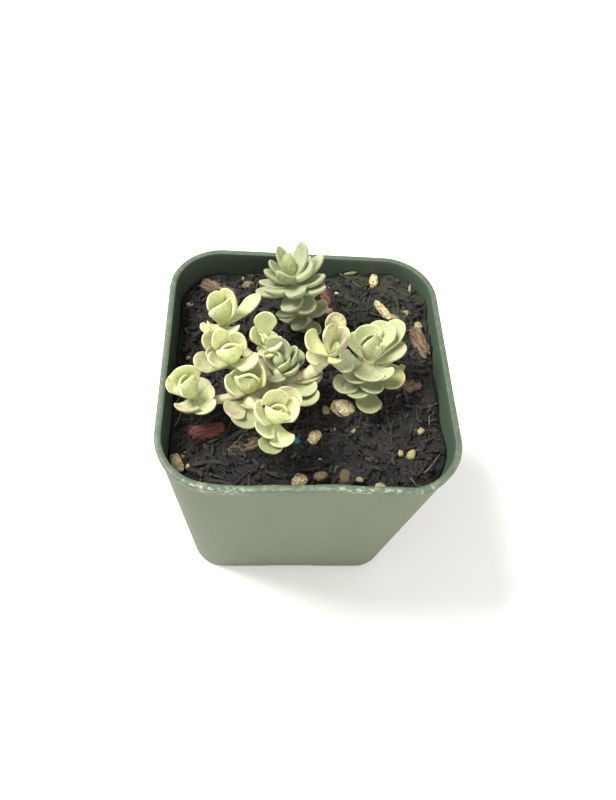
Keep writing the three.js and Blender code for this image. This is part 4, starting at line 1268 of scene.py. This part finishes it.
def leaf_body(base, along, up, row, pointed, look, seed):
    """One fleshy leaf, cupped like a spoon, with a thick round edge."""
    _, open_, length, width, _ = row
    spread = min(open_ / 90, 1)
    length = length - LEAF_FOOT
    thick = min(POINTED_THICK if pointed else LEAF_THICK, 0.34 * width)
    cup = lerp(INNER_CUP, OUTER_CUP, spread)
    curl = lerp(INNER_CURL, OUTER_CURL, spread)
    side = unit(np.cross(along, up))
    stations = 1 - (1 - np.linspace(0, 1, look.leaf_rings + 1)[:-1]) ** 1.5
    angles = np.linspace(0, 2 * math.pi, look.leaf_sides, endpoint=False)[:, None]
    flat = np.sign(np.cos(angles)) * np.abs(np.cos(angles)) ** LEAF_BLUNT
    rise = np.sign(np.sin(angles)) * np.abs(np.sin(angles)) ** LEAF_BLUNT
    twist = 0.16 * vary(seed, 5)
    lean = 0.07 * vary(seed, 6)
    ripple = 0.035 * width * vary(seed, 7)
    # The rings are turned over at the end, so a point whose rise is below 0 ends on the upper face, and
    # each mark lies one point round from where the angles alone would put it.
    marks = {
        "along": [0, *np.repeat(stations, look.leaf_sides), 1],
        "margin": [0, *np.tile(np.abs(flat[:, 0]), look.leaf_rings), 1],
        "upper": [0, *np.tile(np.maximum(-rise[:, 0], 0), look.leaf_rings), 0],
    }
    loops = []
    for s in stations:
        w = leaf_width(s, pointed, spread)
        plump = (1 - 0.28 * s) * (1 - s**10) ** 0.5
        bowl = max(0, (s - BOWL_START) / (1 - BOWL_START)) ** 2
        centre = base + along * length * s + up * (curl * length * s * s + cup * width * bowl)
        face = unit(up - along * (2 * curl * s))
        flank = unit(side + face * twist * s)
        offset = flat * width / 2 * w + lean * length * s * s
        height = rise * thick / 2 * plump + cup * width * (w * flat) ** 2
        height = height + ripple * s * flat * np.sin(6 * s + 2.5 * flat + seed)
        loops.append(centre + flank * offset + face * height)
    tip = base + along * length + up * (curl * length + cup * width) + side * lean * length
    points, faces = loft([loop[::-1] for loop in loops], base, tip)
    return points, faces, marks


def add_leaves(shape, name, way, rows, pointed, tints, look, upright=False):
    """The leaves of a rosette or a column, each from its place on the stem."""
    base_age, base_pink = tints
    for i, row in enumerate(rows):
        turn, open_, _, _, below = row
        share = max(0, 1 - below / way.length)
        axis = np.array([0, 0, 1]) if upright else way.heading(share)
        along, up = leaf_directions(axis, turn, open_)
        base = way.at(share) + along * LEAF_FOOT
        # Each leaf has its own seed, from its shoot's name and its place in the row.
        seed = i + 37 * sum(map(ord, name)) % 991
        points, faces, marks = leaf_body(base, along, up, row, pointed, look, seed)
        outer = i / len(rows)
        # Outer leaves are older, and their darker old colour is partly painted shade, since they sit lower,
        # under the others.
        age = min(max(base_age + 0.42 * outer + 0.12 * vary(seed, 8), 0), 1)
        pink = min(max(base_pink * (0.35 + outer) + 0.3 * vary(seed, 9), 0), 1)
        age, pink, yellow = MARKED_LEAVES.get((name, i), (age, pink, 0))
        shape.add(points, faces, **marks, age=age, pink=pink, yellow=yellow, tone=0.5 + 0.5 * vary(seed, 10))


def lower_rows(rule):
    """The lower leaves of a column: each stands a golden turn on from the one above it."""
    rows = []
    for i in range(rule["count"]):
        share = i / (rule["count"] - 1)
        size = rule["length"] * (1 + 0.06 * vary(i, 1))
        turn = rule["phase"] + i * GOLDEN_TURN + 7 * vary(i, 2)
        open_ = lerp(*rule["open"], share) + 4 * vary(i, 3)
        rows.append((turn, open_, size, size * rule["aspect"], lerp(rule["from"], rule["to"], share)))
    return rows


def add_stem(shape, way, start, end, rings=28, sides=18):
    """A stem with a scar now and then, where an old leaf sat."""
    def radius(share):
        travel = share * way.length
        bulge = 0.04 * math.sin(travel * SCAR_WAVE) + 0.03 * math.sin(travel * SWELL_WAVE)
        return lerp(start, end, share) * (1 + bulge)

    points, faces = tube(way, radius, rings, sides)
    shares = np.linspace(0, 1, rings)
    scars = np.clip(np.sin(shares * way.length * SCAR_WAVE + 2) * 2 - 1, 0, 1)
    marks = {"along": [0, *np.repeat(shares, sides), 1], "scar": [0, *np.repeat(scars, sides), 0]}
    shape.add(points, faces, **marks)


def rosette_way(rosette):
    """The line of a rosette's short core."""
    apex = np.array(rosette["apex"], float)
    return Way([apex - unit(rosette["axis"]) * rosette["core"], apex])


def column_way(column):
    """The line of a leafy stem, straight up out of its hole and then bent."""
    foot = (*column["root"], SOIL_LEVEL - HOLE_DEPTH)
    collar = (*column["root"], SOIL_LEVEL + COLLAR)
    return Way([foot, collar, column["waist"], column["apex"]])


def build_rosettes(look):
    """Each rosette's leaves and its core."""
    leaf = leaf_finish(look)
    stem = stem_finish(look)
    for name, rosette in ROSETTES.items():
        way = rosette_way(rosette)
        leaves = Shape()
        add_leaves(leaves, name, way, rosette["leaves"], False, ROSETTE_TINTS[name], look)
        leaves.piece(name + "_leaves", leaf, "young_leaves", name)
        core = Shape()
        add_stem(core, way, CORE_RADIUS, 0.7 * CORE_RADIUS, 8)
        core.piece(name + "_core", stem, "young_leaves", name)


def build_column(name, look, leaf, stem, branched=False):
    """A leafy stem. The branched one also has the bare branches and the hanging leaves."""
    column = COLUMNS[name]
    way = column_way(column)
    rows = column["leaves"] + (lower_rows(column["lower"]) if "lower" in column else [])
    leaves = Shape()
    add_leaves(leaves, name, way, rows, column["pointed"], COLUMN_TINTS[name], look)
    if branched:
        hanging = branch_way(HANGING_BRANCH)
        add_leaves(leaves, "hanging", hanging, HANGING_LEAVES, False, COLUMN_TINTS[name], look, upright=True)
    leaves.piece(name + "_leaves", leaf, "grey_leaves", name)
    stems = Shape()
    add_stem(stems, way, *column["radius"])
    if branched:
        add_branches(stems)
    stems.piece(name + "_stems", stem, "grey_leaves", name)


def branch_way(name):
    """The line of the branch that carries a rosette."""
    rosette = ROSETTES[name]
    neck = np.array(rosette["apex"]) - unit(rosette["axis"]) * (rosette["core"] - NECK_SINK)
    return Way([CROWN, BRANCHES[name][0], neck])


def add_branches(shape):
    """The bare branches from the crown to the rosettes."""
    for name, (_, radius) in BRANCHES.items():
        add_stem(shape, branch_way(name), BRANCH_FOOT * radius, radius)


# Stage

def build_stage(look):
    """The camera, the pale floor, the even light and two lamps."""
    scene = bpy.context.scene
    scene.view_settings.view_transform = "Standard"
    azimuth, elevation, roll = (math.radians(a) for a in (CAMERA_AZIMUTH, CAMERA_ELEVATION, CAMERA_ROLL))
    back = Vector((
        math.sin(azimuth) * math.cos(elevation),
        -math.cos(azimuth) * math.cos(elevation),
        math.sin(elevation),
    ))
    right = (-back).cross(Vector((0, 0, 1))).normalized()
    up = right.cross(-back)
    turned_right = right * math.cos(roll) + up * math.sin(roll)
    turned_up = up * math.cos(roll) - right * math.sin(roll)
    place = Matrix((turned_right, turned_up, back)).transposed().to_4x4()
    place.translation = (Vector(CAMERA_TARGET) + back * CAMERA_DISTANCE) * MM
    lens = bpy.data.cameras.new("camera")
    lens.sensor_width = SENSOR
    lens.lens = FOCAL_PIXELS / PICTURE_HEIGHT * SENSOR
    lens.clip_start = 0.005
    camera = bpy.data.objects.new("camera", lens)
    camera.matrix_world = place
    scene.collection.objects.link(camera)
    scene.camera = camera

    half = look.floor_size / 2
    mesh = bpy.data.meshes.new("floor")
    corners = [(-half, -half, 0), (half, -half, 0), (half, half, 0), (-half, half, 0)]
    mesh.from_pydata(corners, [], [(0, 1, 2, 3)])
    f = Finish("pale_floor")
    tint = f.mix(look.floor_colour, FLOOR_CLOUD_COLOUR, f.spots(60, 2) * 0.3)
    mesh.materials.append(f.done(tint, 0.7, specular_ior_level=0.2))
    floor = bpy.data.objects.new("floor", mesh)
    floor.location.z = -FLOOR_DROP * MM
    scene.collection.objects.link(floor)

    world = bpy.data.worlds.new("studio")
    world.use_nodes = True
    sky = world.node_tree.nodes["Background"]
    sky.inputs["Color"].default_value = SKY_COLOUR
    sky.inputs["Strength"].default_value = look.sky_strength
    scene.world = world
    for name, (place, size), power in (
        ("soft_top", TOP_LAMP, look.lamp_power),
        ("soft_front", FRONT_LAMP, look.front_power),
    ):
        light = bpy.data.lights.new(name, "AREA")
        light.shape = "DISK"
        light.size = size
        light.energy = power
        lamp = bpy.data.objects.new(name, light)
        lamp.location = place
        lamp.rotation_euler = (Vector(LAMP_AIM) - Vector(place)).to_track_quat("-Z", "Y").to_euler()
        scene.collection.objects.link(lamp)


# Properties, operators and panel

def colour_property(name, description, default):
    """A colour that the panel shows."""
    return bpy.props.FloatVectorProperty(
        name=name, description=description, subtype="COLOR", size=3, min=0, max=1, default=default
    )


class SedumPotLook(bpy.types.PropertyGroup):
    """Finish of the pot."""

    deep_colour: colour_property("Plastic", "Colour of the clean plastic", (0.05, 0.073, 0.047))
    # The outer face's colour is partly haze and partly painted light.
    haze_and_light_colour: colour_property("Haze", "Colour of the hazy outer face", (0.128, 0.148, 0.093))
    # The worn top of the rim, which also stands for a painted highlight.
    rim_wear_and_highlight_colour: colour_property("Rim", "Colour of the worn top of the rim", (0.14, 0.168, 0.106))
    scuff_colour: colour_property("Scuffs", "Colour of the scuffs", (0.42, 0.46, 0.36))
    scuffs: bpy.props.FloatProperty(
        name="Scuffing", description="How strong the scuffs are", subtype="FACTOR", min=0, max=1, default=0.7
    )


class SedumMixLook(bpy.types.PropertyGroup):
    """Colours and counts of the potting mix and what lies on it."""

    dark_colour: colour_property("Peat", "Colour of damp peat", (0.0115, 0.011, 0.0105))
    brown_colour: colour_property("Brown", "Colour of drier peat", (0.044, 0.038, 0.032))
    fibre_colour: colour_property("Fibre", "Colour of pale fibres", (0.11, 0.1, 0.07))
    moss_colour: colour_property("Green film", "Colour of the green film", (0.04, 0.05, 0.022))
    olive_colour: colour_property("Olive", "Colour of bits green with algae", (0.26, 0.28, 0.12))
    bark_dark_colour: colour_property("Bark hollows", "Dark colour of bark", (0.055, 0.035, 0.024))
    bark_pale_colour: colour_property("Bark", "Pale colour of bark", (0.24, 0.17, 0.105))
    red_dark_colour: colour_property("Red bark hollows", "Dark colour of red bark", (0.04, 0.02, 0.017))
    red_colour: colour_property("Red bark", "Colour of red bark", (0.2, 0.06, 0.045))
    pumice_colour: colour_property("Pumice", "Colour of pumice", (0.38, 0.29, 0.13))
    pumice_pale_colour: colour_property("Pale pumice", "Pale colour of pumice", (0.6, 0.52, 0.32))
    shreds: bpy.props.IntProperty(name="Shreds", description="Number of bark shreds", min=0, default=1350)
    fibres: bpy.props.IntProperty(name="Fibres", description="Number of fibres", min=0, default=240)
    crumbs: bpy.props.IntProperty(name="Crumbs", description="Number of crumbs", min=0, default=900)
    grains: bpy.props.IntProperty(name="Grains", description="Number of pumice grains", min=0, default=20)


class SedumPlantLook(bpy.types.PropertyGroup):
    """Colours and fineness of the leaves and stems."""

    young_colour: colour_property("Young leaf", "Blade of a young leaf", (0.74, 0.765, 0.33))
    old_colour: colour_property("Old leaf", "Blade of an old leaf", (0.2, 0.235, 0.125))
    heart_colour: colour_property("Leaf base", "Base of a young leaf", (0.3, 0.38, 0.075))
    shade_colour: colour_property("Dark leaf", "Darkest tone of a blade", (0.16, 0.2, 0.08))
    # Dark olive of a fading leaf, partly painted shade on the low leaves.
    fading_and_shade_colour: colour_property("Fading leaf", "A leaf that is about to drop", (0.28, 0.27, 0.08))
    bloom_colour: colour_property("Bloom", "Powder on the leaves", (0.82, 0.84, 0.53))
    edge_colour: colour_property("Leaf edge", "Edge of a leaf", (0.76, 0.78, 0.43))
    pink_colour: colour_property("Tips", "Tinge of the tips", (0.4, 0.29, 0.2))
    stem_colour: colour_property("Stem", "Young stem", (0.56, 0.52, 0.31))
    stem_foot_colour: colour_property("Stem foot", "Old stem", (0.3, 0.24, 0.15))
    leaf_rings: bpy.props.IntProperty(name="Leaf rings", description="Rings along a leaf", min=4, default=18)
    leaf_sides: bpy.props.IntProperty(name="Leaf sides", description="Points round a leaf", min=8, default=24)


class SedumStageLook(bpy.types.PropertyGroup):
    """Floor and light."""

    floor_size: bpy.props.FloatProperty(
        name="Floor", description="Side of the floor", unit="LENGTH", min=0.5, default=6
    )
    floor_colour: colour_property("Floor colour", "Colour of the pale floor", (0.93, 0.922, 0.885))
    sky_strength: bpy.props.FloatProperty(
        name="Sky", description="Strength of the even light", min=0, default=0.7
    )
    lamp_power: bpy.props.FloatProperty(
        name="Top lamp", description="Power of the lamp above", unit="POWER", min=0, default=6
    )
    front_power: bpy.props.FloatProperty(
        name="Front lamp", description="Power of the lamp in front", unit="POWER", min=0, default=2.4
    )


class SEDUM_OT_stage(bpy.types.Operator):
    """Adds the camera, the floor and the lights"""

    bl_idname = "sedum.stage"
    bl_label = "Stage"

    def execute(self, context):
        build_stage(context.scene.sedum_stage)
        return {"FINISHED"}


class SEDUM_OT_pot(bpy.types.Operator):
    """Builds the thin green pot"""

    bl_idname = "sedum.pot"
    bl_label = "Pot"

    def execute(self, context):
        build_pot(context.scene.sedum_pot)
        return {"FINISHED"}


class SEDUM_OT_mix(bpy.types.Operator):
    """Builds the body of the potting mix"""

    bl_idname = "sedum.mix"
    bl_label = "Potting mix"

    def execute(self, context):
        build_mix(context.scene.sedum_mix)
        return {"FINISHED"}


class SEDUM_OT_litter(bpy.types.Operator):
    """Scatters shreds, fibres and crumbs on the mix"""

    bl_idname = "sedum.litter"
    bl_label = "Shreds and crumbs"

    def execute(self, context):
        build_litter(context.scene.sedum_mix)
        return {"FINISHED"}


class SEDUM_OT_grains(bpy.types.Operator):
    """Scatters small pumice grains and the bead"""

    bl_idname = "sedum.grains"
    bl_label = "Small grains"

    def execute(self, context):
        build_grains(context.scene.sedum_mix)
        return {"FINISHED"}


class SEDUM_OT_bits(bpy.types.Operator):
    """Lays the small bits and twigs in their places"""

    bl_idname = "sedum.bits"
    bl_label = "Small bits"

    def execute(self, context):
        build_bits(context.scene.sedum_mix)
        return {"FINISHED"}


class SEDUM_OT_chips(bpy.types.Operator):
    """Builds the bark chips"""

    bl_idname = "sedum.chips"
    bl_label = "Bark chips"

    def execute(self, context):
        build_chips(context.scene.sedum_mix)
        return {"FINISHED"}


class SEDUM_OT_pumice(bpy.types.Operator):
    """Builds the large pumice pebbles"""

    bl_idname = "sedum.pumice"
    bl_label = "Pumice"

    def execute(self, context):
        build_pumice(context.scene.sedum_mix)
        return {"FINISHED"}


class SEDUM_OT_rosettes(bpy.types.Operator):
    """Builds the seven rosettes"""

    bl_idname = "sedum.rosettes"
    bl_label = "Rosettes"

    def execute(self, context):
        build_rosettes(context.scene.sedum_plant)
        return {"FINISHED"}


class SEDUM_OT_columns(bpy.types.Operator):
    """Builds the leafy stems and the branches"""

    bl_idname = "sedum.columns"
    bl_label = "Leafy stems"

    def execute(self, context):
        look = context.scene.sedum_plant
        leaf = leaf_finish(look)
        stem = stem_finish(look)
        build_column("column_back", look, leaf, stem)
        build_column("column_right", look, leaf, stem)
        build_column("branching_stem", look, leaf, stem, branched=True)
        return {"FINISHED"}


LOOKS = {
    "sedum_stage": SedumStageLook,
    "sedum_pot": SedumPotLook,
    "sedum_mix": SedumMixLook,
    "sedum_plant": SedumPlantLook,
}
OPERATORS = (
    SEDUM_OT_stage,
    SEDUM_OT_pot,
    SEDUM_OT_mix,
    SEDUM_OT_litter,
    SEDUM_OT_grains,
    SEDUM_OT_bits,
    SEDUM_OT_chips,
    SEDUM_OT_pumice,
    SEDUM_OT_rosettes,
    SEDUM_OT_columns,
)


class SEDUM_PT_panel(bpy.types.Panel):
    """Lists the steps and what can be changed"""

    bl_idname = "SEDUM_PT_panel"
    bl_label = "Potted sedum"
    bl_space_type = "VIEW_3D"
    bl_region_type = "UI"
    bl_category = "Sedum"

    def draw(self, context):
        for operator in OPERATORS:
            self.layout.operator(operator.bl_idname)
        for pointer, look in LOOKS.items():
            box = self.layout.box()
            for name in look.__annotations__:
                box.prop(getattr(context.scene, pointer), name)


CLASSES = (*LOOKS.values(), *OPERATORS, SEDUM_PT_panel)


def register():
    for cls in CLASSES:
        bpy.utils.register_class(cls)
    for pointer, look in LOOKS.items():
        setattr(bpy.types.Scene, pointer, bpy.props.PointerProperty(type=look))


def unregister():
    for pointer in LOOKS:
        delattr(bpy.types.Scene, pointer)
    for cls in reversed(CLASSES):
        bpy.utils.unregister_class(cls)


def main():
    register()
    for operator in OPERATORS:
        group, name = operator.bl_idname.split(".")
        getattr(getattr(bpy.ops, group), name)()


if __name__ == "__main__":
    main()
